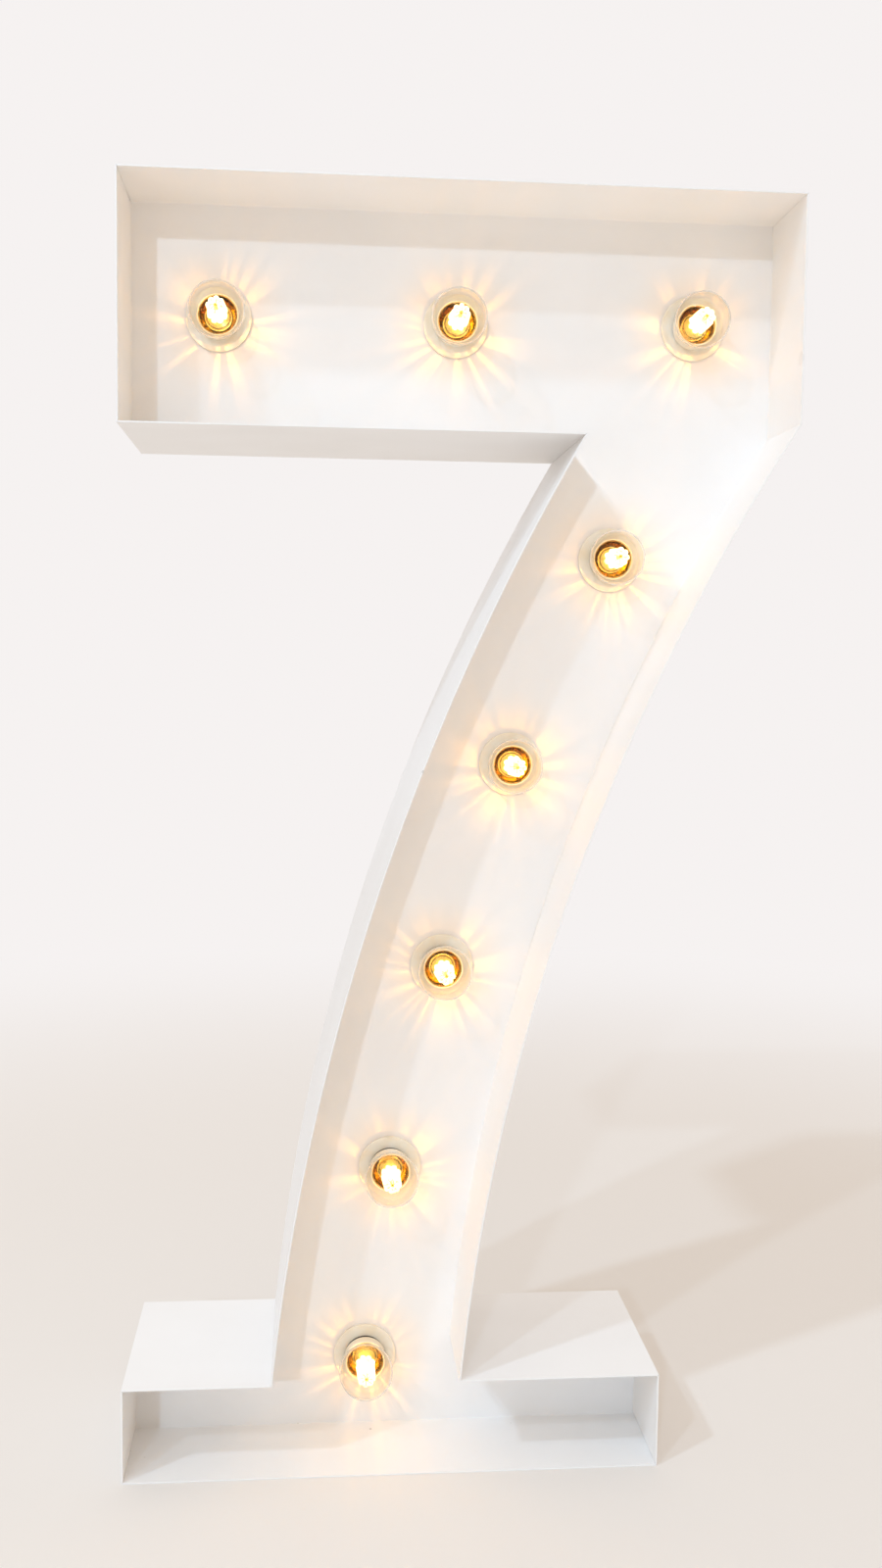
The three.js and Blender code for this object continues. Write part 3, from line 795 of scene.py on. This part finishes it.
outside = corner_places(0)
inside = corner_places(LEDGE_EDGE)
for number, name in enumerate(RETURNS):
    start, end = outside[number], outside[(number + 1) % len(outside)]
    shape = bmesh.new()
    if name in ARCS:
        spin_arc(shape, start, end, *ARCS[name])
    else:
        push_straight(shape, start, end)
    outwards(shape)
    mitre(shape, start, inside[number], end)
    mitre(shape, end, inside[(number + 1) % len(inside)], start)
    outwards(shape)
    round_edges(shape, EDGE_ROUNDING)
    piece = finish_piece(shape, "rim_" + name, "letter", [white_paint], [name])
    print(piece.name, len(piece.data.polygons), "faces")

# %% [markdown]
# ## The face and the rear cover
# Both are flat sheets with the outline of the rim's inside. The outline is a wire: straight runs
# between corners, and the two arcs spun from a single point. Round holes are more wires in the same
# plane. `triangle_fill` covers what lies between them, and an extrusion gives the sheet its thickness.
# The face is cut here. The cover comes later, because the inlet gives it its opening.

# %% Cut the face sheet
HOLE_RADIUS = 20.5 * MM
HOLE_SIDES = 64


def wire_outline(shape, inset, depth):
    places = corner_places(inset)
    corners = [shape.verts.new((place.x, depth, place.y)) for place in places]
    for number, name in enumerate(RETURNS):
        following = (number + 1) % len(corners)
        if name in ARCS:
            centre = ARCS[name][0]
            sweep = arc_turn(places[number], places[following], centre)[1]
            spin_round(shape, [corners[number]], centre, sweep)
        else:
            shape.edges.new((corners[number], corners[following]))
    bmesh.ops.remove_doubles(shape, verts=shape.verts, dist=1e-5)


def upright(x, depth, z):
    return Matrix.Translation((x, depth, z)) @ Matrix.Rotation(math.pi / 2, 4, "X")


def thicken_sheet(shape, thickness):
    bmesh.ops.triangle_fill(shape, use_beauty=True, edges=shape.edges[:], normal=(0, -1, 0))
    push_faces(shape, shape.faces[:], (0, thickness, 0))
    outwards(shape)


face_shape = bmesh.new()
wire_outline(face_shape, SHEET, FACE_FRONT_Y)
for place in lamp_places:
    hole = upright(place.x, FACE_FRONT_Y, place.z)
    bmesh.ops.create_circle(face_shape, segments=HOLE_SIDES, radius=HOLE_RADIUS, matrix=hole)
thicken_sheet(face_shape, FACE_REAR_Y - FACE_FRONT_Y)
face = finish_piece(face_shape, "numeral_face", "letter", [white_paint], ["face_panel"])
print("face:", len(face.data.polygons), "faces")

# %% [markdown]
# ## Turned pieces
# Lampholder, shell, cap and globe are all turned shapes. Each is drawn as half a section, radius
# against reach from the face, and spun a full turn round the lamp's axis. The drawing happens at the
# middle of the frame and is then carried to each of the eight places.

# %% Helpers for turned pieces
TURN_STEPS = 56


def turn_profile(points, steps=TURN_STEPS):
    shape = bmesh.new()
    line = [shape.verts.new((radius * MM, -reach * MM, 0)) for radius, reach in points]
    edges = [shape.edges.new(pair) for pair in zip(line, line[1:])]
    bmesh.ops.spin(
        shape,
        geom=line + edges,
        cent=(0, 0, 0),
        axis=(0, 1, 0),
        angle=2 * math.pi,
        steps=steps,
        use_merge=True,
    )
    outwards(shape)
    return shape


def radius_and_reach(point):
    return math.hypot(point.x, point.z) / MM, -point.y / MM


def one_per_lamp(shape, name, body, finishes, stands_for=None, shades=True):
    for number, place in enumerate(lamp_places, 1):
        moved = shape.copy()
        bmesh.ops.translate(moved, verts=moved.verts, vec=place)
        nodes = [f"{stands_for}_{number}"] if stands_for else []
        piece = finish_piece(moved, f"{name}_{number}", body.format(number), finishes, nodes)
        piece.visible_shadow = shades
    shape.free()
    print(name, "x", len(lamp_places), "with", len(piece.data.polygons), "faces each")


# %% [markdown]
# ## The lampholder
# A flange covers the hole in the face, a barrel goes through it, and a collar stands out round the
# lamp. The collar sits a little askew on a dark ring that is painted shade in the gap under it: above,
# a crescent of the painted shade shows, and below, the collar touches the flange.

# %% Turn the lampholders
FLANGE = 31.0
FLANGE_TOP = 3.3
COLLAR = 20.5
COLLAR_FOOT = 6.9
RING = 19.3
GAP_TURN = math.radians(105)
GAP_LEAST = 0.06
HOLDER_ROUNDING = 0.7 * MM
holder_shape = turn_profile(
    [
        (0, -39.5),
        (15.6, -39.5),
        (19.6, -35.5),
        (19.6, 0),
        (FLANGE, 0),
        (FLANGE, FLANGE_TOP),
        (RING, FLANGE_TOP),
        (RING, COLLAR_FOOT),
        (COLLAR, COLLAR_FOOT),
        (COLLAR, 18),
        (18.8, 18),
        (18.8, 2.3),
        (14.7, 2.3),
        (14.7, -20),
        (0, -20),
    ]
)
round_edges(holder_shape, HOLDER_ROUNDING, 3)
for vert in holder_shape.verts:
    radius, reach = radius_and_reach(vert.co)
    if RING - 0.2 < radius < COLLAR + 0.1 and FLANGE_TOP < reach < COLLAR_FOOT + 1.5:
        turn = math.atan2(vert.co.z, vert.co.x) - GAP_TURN
        share = max(GAP_LEAST, 0.5 + 0.6 * math.cos(turn))
        vert.co.y = -(FLANGE_TOP + (reach - FLANGE_TOP) * share) * MM
# the ring's faces take the second finish, a painted shade
for face in holder_shape.faces:
    radius, reach = radius_and_reach(face.calc_center_median())
    if RING - 0.5 < radius < COLLAR - 0.4 and FLANGE_TOP - 0.1 < reach < COLLAR_FOOT + 0.1:
        face.material_index = 1
holder_finishes = [holder_plastic, painted_gap_shade]
one_per_lamp(holder_shape, "holder", "letter", holder_finishes, "lampholder")

# %% [markdown]
# ## The brass shell
# A thin pressed sleeve lines the well and the collar. Its thread is a row of round waves, each one
# pitch from the next, like the thread of the cap that turns in it. Its mouth opens in a cone that
# catches the light of the filaments.

# %% Press the brass shells
PITCH = 3.63
WELL_FLOOR = -19.7
SHELL_WIDE, SHELL_NARROW = 14.2, 13.8
SHELL_SHEET = 0.35
SHELL_ROUNDING = 0.25 * MM
shell_wall = [(SHELL_WIDE, WELL_FLOOR)]
for turn in range(5):
    shell_wall += [(SHELL_WIDE, -18.6 + PITCH * turn), (SHELL_NARROW, -16.8 + PITCH * turn)]
shell_wall += [(14.1, 0.4), (14.4, 2.6), (15.4, 3.3), (17.4, 6.2), (18.2, 9.6), (18.2, 16.8)]
shell_inner = [(radius - SHELL_SHEET, reach + 0.05) for radius, reach in reversed(shell_wall)]
shell_shape = turn_profile(shell_wall + shell_inner + shell_wall[:1])
round_edges(shell_shape, SHELL_ROUNDING)
one_per_lamp(shell_shape, "shell", "letter", [brass_shell], "screw_shell")

# %% [markdown]
# ## The screw cap
# The cap has a contact at its foot, a dark insulating cone, a rolled thread and a rim that holds the
# neck of the glass. A shallow polished dish closes it under the filaments and throws their light back.

# %% Roll the screw caps
CREST, ROOT = 13.1, 12.6
THREAD_FOOT = -15.7
CAP_ROUNDING = 0.3 * MM
cap_line = [(0, WELL_FLOOR), (4.2, WELL_FLOOR), (4.2, WELL_FLOOR + 1), (ROOT, THREAD_FOOT)]
for turn in range(3):
    crest = THREAD_FOOT + PITCH * (turn + 0.5)
    cap_line += [(CREST, crest - 0.5), (CREST, crest + 0.5), (ROOT, crest + PITCH / 2)]
cap_line += [(CREST, 1.5), (CREST, 4.5), (12.1, 4.5), (12.1, 0.4), (8.5, -1.6), (0, -2.4)]
cap_shape = turn_profile(cap_line)
round_edges(cap_shape, CAP_ROUNDING)
for face in cap_shape.faces:
    radius, reach = radius_and_reach(face.calc_center_median())
    if -18.8 < reach < -15.9 and 4.3 < radius < 12.5:
        face.material_index = 1
one_per_lamp(cap_shape, "cap", "bulb_{}_base", [nickel_cap, black_plastic], "bulb_cap")

# %% [markdown]
# ## The globe
# The globe is a thin shell: an outer line from the neck to the crown, and the same line back, one
# millimetre further in.

# %% Blow the globes
GLOBE = 26.5
GLOBE_CENTRE = 41.0
GLOBE_WALL = 1.0
NECK = 11.5
OPENING = math.radians(40)
GLOBE_RINGS = 26


def glass_line(neck, ball):
    line = [(neck, 1.0), (neck, 7.0), (neck + 0.5, 11.0), (neck + 1.6, 15.0)]
    for ring in range(GLOBE_RINGS + 1):
        angle = OPENING + (math.pi - OPENING) * ring / GLOBE_RINGS
        across = 0.0 if ring == GLOBE_RINGS else ball * math.sin(angle)
        line.append((across, GLOBE_CENTRE - ball * math.cos(angle)))
    return line


outer_glass = glass_line(NECK, GLOBE)
inner_glass = glass_line(NECK - GLOBE_WALL, GLOBE - GLOBE_WALL)
globe_shape = turn_profile(inner_glass[::-1] + outer_glass)
one_per_lamp(globe_shape, "globe", "bulb_{}_glass", [clear_glass], "bulb_globe")

# %% [markdown]
# ## Inside the globe
# A glass stem carries two wire stars, and eight filaments stand between them, so close together that
# they glare as one. The stem is turned, the wires and the filaments are round rods between two points.


# %% Build the filaments
def add_rod(shape, low, high, low_radius, high_radius, sides):
    line = Vector(high) - Vector(low)
    turn = line.to_track_quat("Z", "Y").to_matrix().to_4x4()
    place = Matrix.Translation((Vector(low) + Vector(high)) / 2) @ turn
    bmesh.ops.create_cone(
        shape,
        cap_ends=True,
        segments=sides,
        radius1=low_radius,
        radius2=high_radius,
        depth=line.length,
        matrix=place,
    )


def around(radius, reach, angle):
    return (radius * math.cos(angle) * MM, -reach * MM, radius * math.sin(angle) * MM)


FILAMENTS = 8
TWIST = math.radians(20)
FILAMENT_RADII = (2.9 * MM, 2.6 * MM)
FILAMENT_SIDES = 14
FILAMENT_ROUNDING = 0.5 * MM
WIRE_RADII = (0.3 * MM, 0.3 * MM)
WIRE_SIDES = 8
# Radius and reach: the ends of a filament, and where its wires meet the stem
FILAMENT_LOW, FILAMENT_HIGH = (7.2, 24), (6.4, 54)
WIRE_LOW, WIRE_HIGH = (1.6, 19), (1.2, 56)
STEM_LINE = [(0, 1.2), (9.6, 1.2), (9.4, 2.6), (4.2, 9), (3, 15), (1.6, 56.5), (0, 57)]
STEM_STEPS = 32

filament_shape = bmesh.new()
wire_shape = bmesh.new()
for number in range(FILAMENTS):
    angle = 2 * math.pi * number / FILAMENTS + TWIST
    low, high = around(*FILAMENT_LOW, angle), around(*FILAMENT_HIGH, angle + TWIST)
    add_rod(filament_shape, low, high, *FILAMENT_RADII, FILAMENT_SIDES)
    add_rod(wire_shape, around(*WIRE_LOW, angle), low, *WIRE_RADII, WIRE_SIDES)
    add_rod(wire_shape, high, around(*WIRE_HIGH, angle), *WIRE_RADII, WIRE_SIDES)
outwards(filament_shape)
round_edges(filament_shape, FILAMENT_ROUNDING, 3)
glass_body = "bulb_{}_glass"
one_per_lamp(
    filament_shape,
    "filaments",
    glass_body,
    [filament_glow],
    "bulb_filament",
    shades=False,
)
one_per_lamp(wire_shape, "wires", glass_body, [nickel_cap])
stem_shape = turn_profile(STEM_LINE, STEM_STEPS)
one_per_lamp(stem_shape, "stem", glass_body, [clear_glass])

# %% [markdown]
# ## Light from the lamps
# The filaments look bright, but the glass gathers much of their light close by, so each globe also
# holds a point lamp. Ripples in the glass break its light into soft rays. The lamp's own nodes read
# the direction of the light: they vary its strength round the axis and keep it near the lampholder.
# The lamp hangs past the middle of the globe, a little below the axis, and is small, because a wide
# source would wash the rays out.

# %% Put a light in each globe
GLOW_OFFSET = Vector((2, -49, -8)) * MM
GLOW_POWER = 0.045
GLOW_COLOUR = (1.0, 0.45, 0.08)
GLOW_SIZE = 1.4 * MM
RAY_SCALE = 5.5
RAY_SHIFT = Vector((7.0, 3.0, 0.0))
# Where a step starts and ends, then what it gives at both
RAY_STEP = (0.45, 0.62, 0.5, 4.2)
NEAR_STEP = (0.50, 0.84, 0.16, 1.0)

for number, place in enumerate(lamp_places, 1):
    glow_data = bpy.data.lights.new(f"glow_{number}", "POINT")
    glow_data.energy = GLOW_POWER
    glow_data.color = GLOW_COLOUR
    glow_data.shadow_soft_size = GLOW_SIZE
    glow_data.use_nodes = True
    tree = glow_data.node_tree
    tree.nodes.clear()
    direction = put(tree, "TexCoord").outputs["Normal"]
    flat = combine_vectors(tree, "MULTIPLY", direction, (1.0, 0.0, 1.0))["Vector"]
    round_it = put(tree, "VectorMath", {0: flat}, operation="NORMALIZE").outputs["Vector"]
    shifted = combine_vectors(tree, "ADD", round_it, RAY_SHIFT * number)["Vector"]
    ray = between(tree, noise(tree, shifted, RAY_SCALE), *RAY_STEP)
    reach = put(tree, "SeparateXYZ", {0: direction}).outputs["Y"]
    close_by = between(tree, reach, *NEAR_STEP)
    light = put(tree, "Emission", {"Strength": combine(tree, "MULTIPLY", ray, close_by)})
    put(tree, "OutputLight", {"Surface": light.outputs[0]})
    glow = bpy.data.objects.new(f"glow_{number}", glow_data)
    glow.location = place + GLOW_OFFSET
    glow.visible_camera = False
    bpy.context.scene.collection.objects.link(glow)
    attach(glow, f"bulb_{number}_glass")
print(len(lamp_places), "lights of", GLOW_POWER, "W")

# %% [markdown]
# ## The power inlet
# A black moulding is pressed into the rear cover: a flange outside, a housing inside, a socket with
# three pins and a pocket for the switch. Every outline is a rounded rectangle. A small grid is
# stretched to size, its four corners are rounded, and only its edges are kept; rings at different
# depths are then bridged, and the rear face is filled round its two openings.

# %% Mould the power inlet
CORNER_STEPS = 6
INLET_X, INLET_Z = -79.19, 126.0
SOCKET_Z = INLET_Z - 12
ROCKER_Z = INLET_Z + 14
INLET_REAR_Y = 90.3
INLET_FLANGE_Y = 87.8
INLET_FRONT_Y = 56.3
SOCKET_FLOOR_Y = 74.3
POCKET_FLOOR_Y = 82.3
# Rounded rectangles, in mm: width, height and the radius of the corners
INLET_FLANGE = (31, 60, 3)
INLET_BODY = (27, 48, 3)
SOCKET = (24, 17, 3)
POCKET = (14, 19, 0.8)
PIN_WIDE, PIN_LONG, PIN_TALL = 2, 12, 4
PIN_PLACES = ((-7, 0), (0, 4), (7, 0))
MOULDED_ROUNDING = 0.5 * MM
SMALL_ROUNDING = 0.45 * MM


def join_rings(shape, *rings):
    for first, second in zip(rings, rings[1:]):
        bmesh.ops.bridge_loops(shape, edges=first + second)


def rounded_ring(shape, z, outline, depth):
    before = set(shape.edges)
    width, height, radius = outline
    size = Matrix.Diagonal((width * MM, height * MM, 1, 1))
    place = upright(INLET_X * MM, depth * MM, z * MM) @ size
    made = bmesh.ops.create_grid(shape, x_segments=1, y_segments=1, size=0.5, matrix=place)
    bmesh.ops.bevel(
        shape,
        geom=made["verts"],
        offset=radius * MM,
        segments=CORNER_STEPS,
        profile=0.5,
        affect="VERTICES",
    )
    ring = [edge for edge in shape.edges if edge not in before]
    bmesh.ops.delete(shape, geom=list(ring[0].link_faces), context="FACES_ONLY")
    return ring


def close_ring(shape, ring):
    bmesh.ops.holes_fill(shape, edges=ring, sides=0)


def join_and_close(shape, *rings):
    join_rings(shape, *rings)
    close_ring(shape, rings[0])
    close_ring(shape, rings[-1])


inlet_shape = bmesh.new()
flange_rear = rounded_ring(inlet_shape, INLET_Z, INLET_FLANGE, INLET_REAR_Y)
socket_rear = rounded_ring(inlet_shape, SOCKET_Z, SOCKET, INLET_REAR_Y)
pocket_rear = rounded_ring(inlet_shape, ROCKER_Z, POCKET, INLET_REAR_Y)
openings = flange_rear + socket_rear + pocket_rear
bmesh.ops.triangle_fill(inlet_shape, use_beauty=True, edges=openings, normal=(0, 1, 0))
flange_front = rounded_ring(inlet_shape, INLET_Z, INLET_FLANGE, INLET_FLANGE_Y)
body_rear = rounded_ring(inlet_shape, INLET_Z, INLET_BODY, INLET_FLANGE_Y)
body_front = rounded_ring(inlet_shape, INLET_Z, INLET_BODY, INLET_FRONT_Y)
join_rings(inlet_shape, flange_rear, flange_front, body_rear, body_front)
socket_floor = rounded_ring(inlet_shape, SOCKET_Z, SOCKET, SOCKET_FLOOR_Y)
join_rings(inlet_shape, socket_rear, socket_floor)
pocket_floor = rounded_ring(inlet_shape, ROCKER_Z, POCKET, POCKET_FLOOR_Y)
join_rings(inlet_shape, pocket_rear, pocket_floor)
for ring in (body_front, socket_floor, pocket_floor):
    close_ring(inlet_shape, ring)
outwards(inlet_shape)
round_edges(inlet_shape, MOULDED_ROUNDING, 3)
inlet = finish_piece(inlet_shape, "inlet", "letter", [black_plastic], ["power_inlet"])
print("inlet:", len(inlet.data.polygons), "faces")

pin_shape = bmesh.new()
pin_size = Matrix.Diagonal((PIN_WIDE * MM, PIN_LONG * MM, PIN_TALL * MM, 1))
for aside, raise_by in PIN_PLACES:
    place = (INLET_X + aside) * MM, (SOCKET_FLOOR_Y + PIN_LONG / 2) * MM, (SOCKET_Z + raise_by) * MM
    bmesh.ops.create_cube(pin_shape, size=1.0, matrix=Matrix.Translation(place) @ pin_size)
outwards(pin_shape)
round_edges(pin_shape, SMALL_ROUNDING, 3)
finish_piece(pin_shape, "inlet_pins", "letter", [zinc_metal])
print("three pins in the socket")

# %% [markdown]
# ## The switch
# The rocker is a paddle with a shallow dish. Its side view is drawn as one face, pushed through its
# width, rounded, and tilted to the side that is pressed at rest. It rides on its own body.

# %% Mould the rocker
ROCKER_HALF = 8.5
ROCKER_WIDE = 13.0
ROCKER_TILT = math.radians(-10)
ROCKER_KEEL = 4.5
DISH_STEPS = 8
DISH_FLOOR, DISH_RISE = 2.2, 0.8

rocker_side = [
    (-ROCKER_HALF, 0),
    (-ROCKER_KEEL, -ROCKER_KEEL),
    (ROCKER_KEEL, -ROCKER_KEEL),
    (ROCKER_HALF, 0),
]
for step in range(DISH_STEPS + 1):
    share = 1 - 2 * step / DISH_STEPS
    rocker_side.append((ROCKER_HALF * share, DISH_FLOOR + DISH_RISE * share**2))
rocker_shape = bmesh.new()
side_x = -ROCKER_WIDE / 2 * MM
corners = [rocker_shape.verts.new((side_x, proud * MM, along * MM)) for along, proud in rocker_side]
push_faces(rocker_shape, [rocker_shape.faces.new(corners)], (ROCKER_WIDE * MM, 0, 0))
outwards(rocker_shape)
round_edges(rocker_shape, SMALL_ROUNDING, 3)
seat = Matrix.Translation((INLET_X * MM, INLET_REAR_Y * MM, ROCKER_Z * MM))
tilted = seat @ Matrix.Rotation(ROCKER_TILT, 4, "X")
bmesh.ops.transform(rocker_shape, matrix=tilted, verts=rocker_shape.verts)
rocker_nodes = ["switch_rocker"]
finish_piece(rocker_shape, "rocker_paddle", "rocker", [rocker_plastic], rocker_nodes)
print("rocker tilted by", round(math.degrees(ROCKER_TILT)), "degrees")

# %% [markdown]
# ## The rear cover and its screws
# The cover has the outline of the face and one opening for the inlet. Button-head screws hold it to the
# ledge inside the rim. A screw head is a stack of rings: round ones for the dome and two hexagons for
# the socket in its middle.

# %% Cut the rear cover
SCREW_INSET = 7.5 * MM
SCREW_LIFT = 0.02
STEM_SCREWS_Z = (0.33, 0.56, 0.78)
TOP_SCREW_X, UNDER_SCREW_X = 0.0, -0.1
COVER_OPENING = (27.8, 48.8, 3)
# Rings of a screw head: radius and height in mm, then sides
HEAD = [(3.9, 0.0, 24), (3.8, 0.9, 24), (3.2, 1.7, 24), (2.2, 2.1, 24), (1.4, 2.1, 6), (1.4, 0.8, 6)]

cover_shape = bmesh.new()
wire_outline(cover_shape, SHEET, COVER_FRONT_Y)
rounded_ring(cover_shape, INLET_Z, COVER_OPENING, COVER_FRONT_Y / MM)
thicken_sheet(cover_shape, COVER_REAR_Y - COVER_FRONT_Y)
cover = finish_piece(cover_shape, "cover", "letter", [cover_paint], ["rear_cover"])
print("cover:", len(cover.data.polygons), "faces")


def ring_edges(verts):
    return list({edge for vert in verts for edge in vert.link_edges})


def add_screw(shape, x, depth, z, scale=1.0):
    rings = []
    for radius, height, sides in HEAD:
        place = upright(x, depth + height * scale * MM, z)
        made = bmesh.ops.create_circle(shape, segments=sides, radius=radius * scale * MM, matrix=place)
        rings.append(ring_edges(made["verts"]))
    join_and_close(shape, *rings)


screw_places = corner_places(SCREW_INSET)
for stem_side in (outer_x, inner_x):
    screw_places += [Vector((stem_side(z, SCREW_INSET), z)) for z in STEM_SCREWS_Z]
screw_places.append(Vector((TOP_SCREW_X, TALL - SCREW_INSET)))
screw_places.append(Vector((UNDER_SCREW_X, under_z + SCREW_INSET)))
screw_shape = bmesh.new()
for place in screw_places:
    add_screw(screw_shape, place.x, COVER_REAR_Y + SCREW_LIFT * MM, place.y)
outwards(screw_shape)
screws = finish_piece(screw_shape, "cover_screws", "letter", [zinc_metal])
print(len(screw_places), "screws,", len(screws.data.polygons), "faces")

# %% [markdown]
# ## The terminal box
# Behind the face the leads meet in a grey box with a screwed lid. The box is four rings: outside near,
# outside far, inside far and inside near.

# %% Mould the terminal box
BOX_Z = 178.0
BOX_NEAR_Y, BOX_FAR_Y = 4.3, 50.3
LID_NEAR_Y, LID_FAR_Y = 50.6, 52.2
BOX_FLOOR = 2
BOX_OUTSIDE = (64, 50, 4)
BOX_INSIDE = (60, 46, 2)
LID_ROUNDING = 0.4 * MM
LID_SCREWS = (-25, 25)
LID_SCREW_SCALE = 0.8

box_shape = bmesh.new()
walls = [
    rounded_ring(box_shape, BOX_Z, BOX_OUTSIDE, BOX_NEAR_Y),
    rounded_ring(box_shape, BOX_Z, BOX_OUTSIDE, BOX_FAR_Y),
    rounded_ring(box_shape, BOX_Z, BOX_INSIDE, BOX_FAR_Y),
    rounded_ring(box_shape, BOX_Z, BOX_INSIDE, BOX_NEAR_Y + BOX_FLOOR),
]
join_and_close(box_shape, *walls)
outwards(box_shape)
round_edges(box_shape, MOULDED_ROUNDING, 3)
finish_piece(box_shape, "box", "letter", [grey_plastic], ["terminal_box"])

lid_shape = bmesh.new()
lid_near = rounded_ring(lid_shape, BOX_Z, BOX_OUTSIDE, LID_NEAR_Y)
lid_far = rounded_ring(lid_shape, BOX_Z, BOX_OUTSIDE, LID_FAR_Y)
join_and_close(lid_shape, lid_near, lid_far)
outwards(lid_shape)
round_edges(lid_shape, LID_ROUNDING, 3)
finish_piece(lid_shape, "lid", "letter", [grey_plastic], ["terminal_lid"])

lid_screws = bmesh.new()
lid_top = (LID_FAR_Y + SCREW_LIFT) * MM
for aside in LID_SCREWS:
    add_screw(lid_screws, (INLET_X + aside) * MM, lid_top, BOX_Z * MM, LID_SCREW_SCALE)
outwards(lid_screws)
finish_piece(lid_screws, "lid_screws", "letter", [zinc_metal])
print("terminal box, lid and two screws")

# %% [markdown]
# ## The leads
# A lead hangs in soft curves from lamp to lamp. A smooth path runs through the fixed points, a round
# ring stands across it every twelve millimetres or less, and the rings are bridged.

# %% Run the leads
LEAD_RADIUS = 3.0
LEAD_SIDES = 16
LEAD_STEP = 12 * MM
LEAD_Y = 45.3
LEAD_ASIDE = 18.5
LEAD_STRAIGHT = 14.0
BOX_TOP_Z, BOX_LOW_Z = 203.3, 152.7
LEAD_BEND_Z = INLET_Z - 24
INLET_LEAD_Y = 11.3
LEAD_GAP = 0.3


def smooth_path(points):
    ends = [2 * points[0] - points[1], *points, 2 * points[-1] - points[-2]]
    path = []
    for a, b, c, d in zip(ends, ends[1:], ends[2:], ends[3:]):
        at_b = math.sqrt((b - a).length)
        at_c = at_b + math.sqrt((c - b).length)
        at_d = at_c + math.sqrt((d - c).length)
        count = math.ceil((c - b).length / LEAD_STEP)
        for number in range(count):
            at = at_b + (at_c - at_b) * number / count
            ab, bc = a.lerp(b, at / at_b), b.lerp(c, (at - at_b) / (at_c - at_b))
            cd = c.lerp(d, (at - at_c) / (at_d - at_c))
            abc, bcd = ab.lerp(bc, at / at_c), bc.lerp(cd, (at - at_b) / (at_d - at_b))
            path.append(abc.lerp(bcd, (at - at_b) / (at_c - at_b)))
    return path + [points[-1]]


def sweep_round(points, plane):
    shape = bmesh.new()
    path = smooth_path([Vector(point) * MM for point in points])
    rings = []
    for number, place in enumerate(path):
        along = (path[min(number + 1, len(path) - 1)] - path[max(number - 1, 0)]).normalized()
        side = along.cross(plane).normalized()
        turn = Matrix((plane, side, along)).transposed().to_4x4()
        stands = Matrix.Translation(place) @ turn
        made = bmesh.ops.create_circle(
            shape, segments=LEAD_SIDES, radius=LEAD_RADIUS * MM, matrix=stands
        )
        rings.append(ring_edges(made["verts"]))
    join_and_close(shape, *rings)
    outwards(shape)
    return shape


behind = [(x, LEAD_Y, z) for x, z in LAMPS]
left_lead = INLET_X - LEAD_ASIDE
right_lead = INLET_X + LEAD_ASIDE / 2
inlet_lead_z = BOX_LOW_Z - 2 * LEAD_STRAIGHT - LEAD_RADIUS
leads = {
    "lamp_lead_main": (
        [(INLET_X, LEAD_Y, BOX_TOP_Z), (INLET_X, LEAD_Y, BOX_TOP_Z + LEAD_STRAIGHT)]
        + behind[6:2:-1]
        + behind[2::-1],
        Vector((0, 1, 0)),
    ),
    "lamp_lead_foot": (
        [
            (left_lead, LEAD_Y, BOX_LOW_Z),
            (left_lead, LEAD_Y, BOX_LOW_Z - LEAD_STRAIGHT),
            (left_lead, LEAD_Y, LEAD_BEND_Z),
            behind[7],
            (behind[7][0], LEAD_Y, behind[7][2] - LEAD_STRAIGHT),
        ],
        Vector((0, 1, 0)),
    ),
    "inlet_lead": (
        [
            (right_lead, INLET_FRONT_Y - LEAD_GAP, inlet_lead_z),
            (right_lead, INLET_FRONT_Y - LEAD_GAP - LEAD_STRAIGHT / 2, inlet_lead_z),
            (right_lead, INLET_LEAD_Y, BOX_LOW_Z - LEAD_STRAIGHT / 2),
            (right_lead, INLET_LEAD_Y, BOX_LOW_Z),
        ],
        Vector((1, 0, 0)),
    ),
}
for name, (points, plane) in leads.items():
    lead_shape = sweep_round(points, plane)
    lead = finish_piece(lead_shape, "round_" + name, "letter", [cable_sheath], [name])
    print(lead.name, len(lead.data.polygons), "faces")

# %% [markdown]
# ## The size
# The box round the visual model is printed. The visual model has to stay inside the CAD
# model's box.

# %% Print the size
low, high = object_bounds()
print("visual box from", tuple(low), "to", tuple(high))
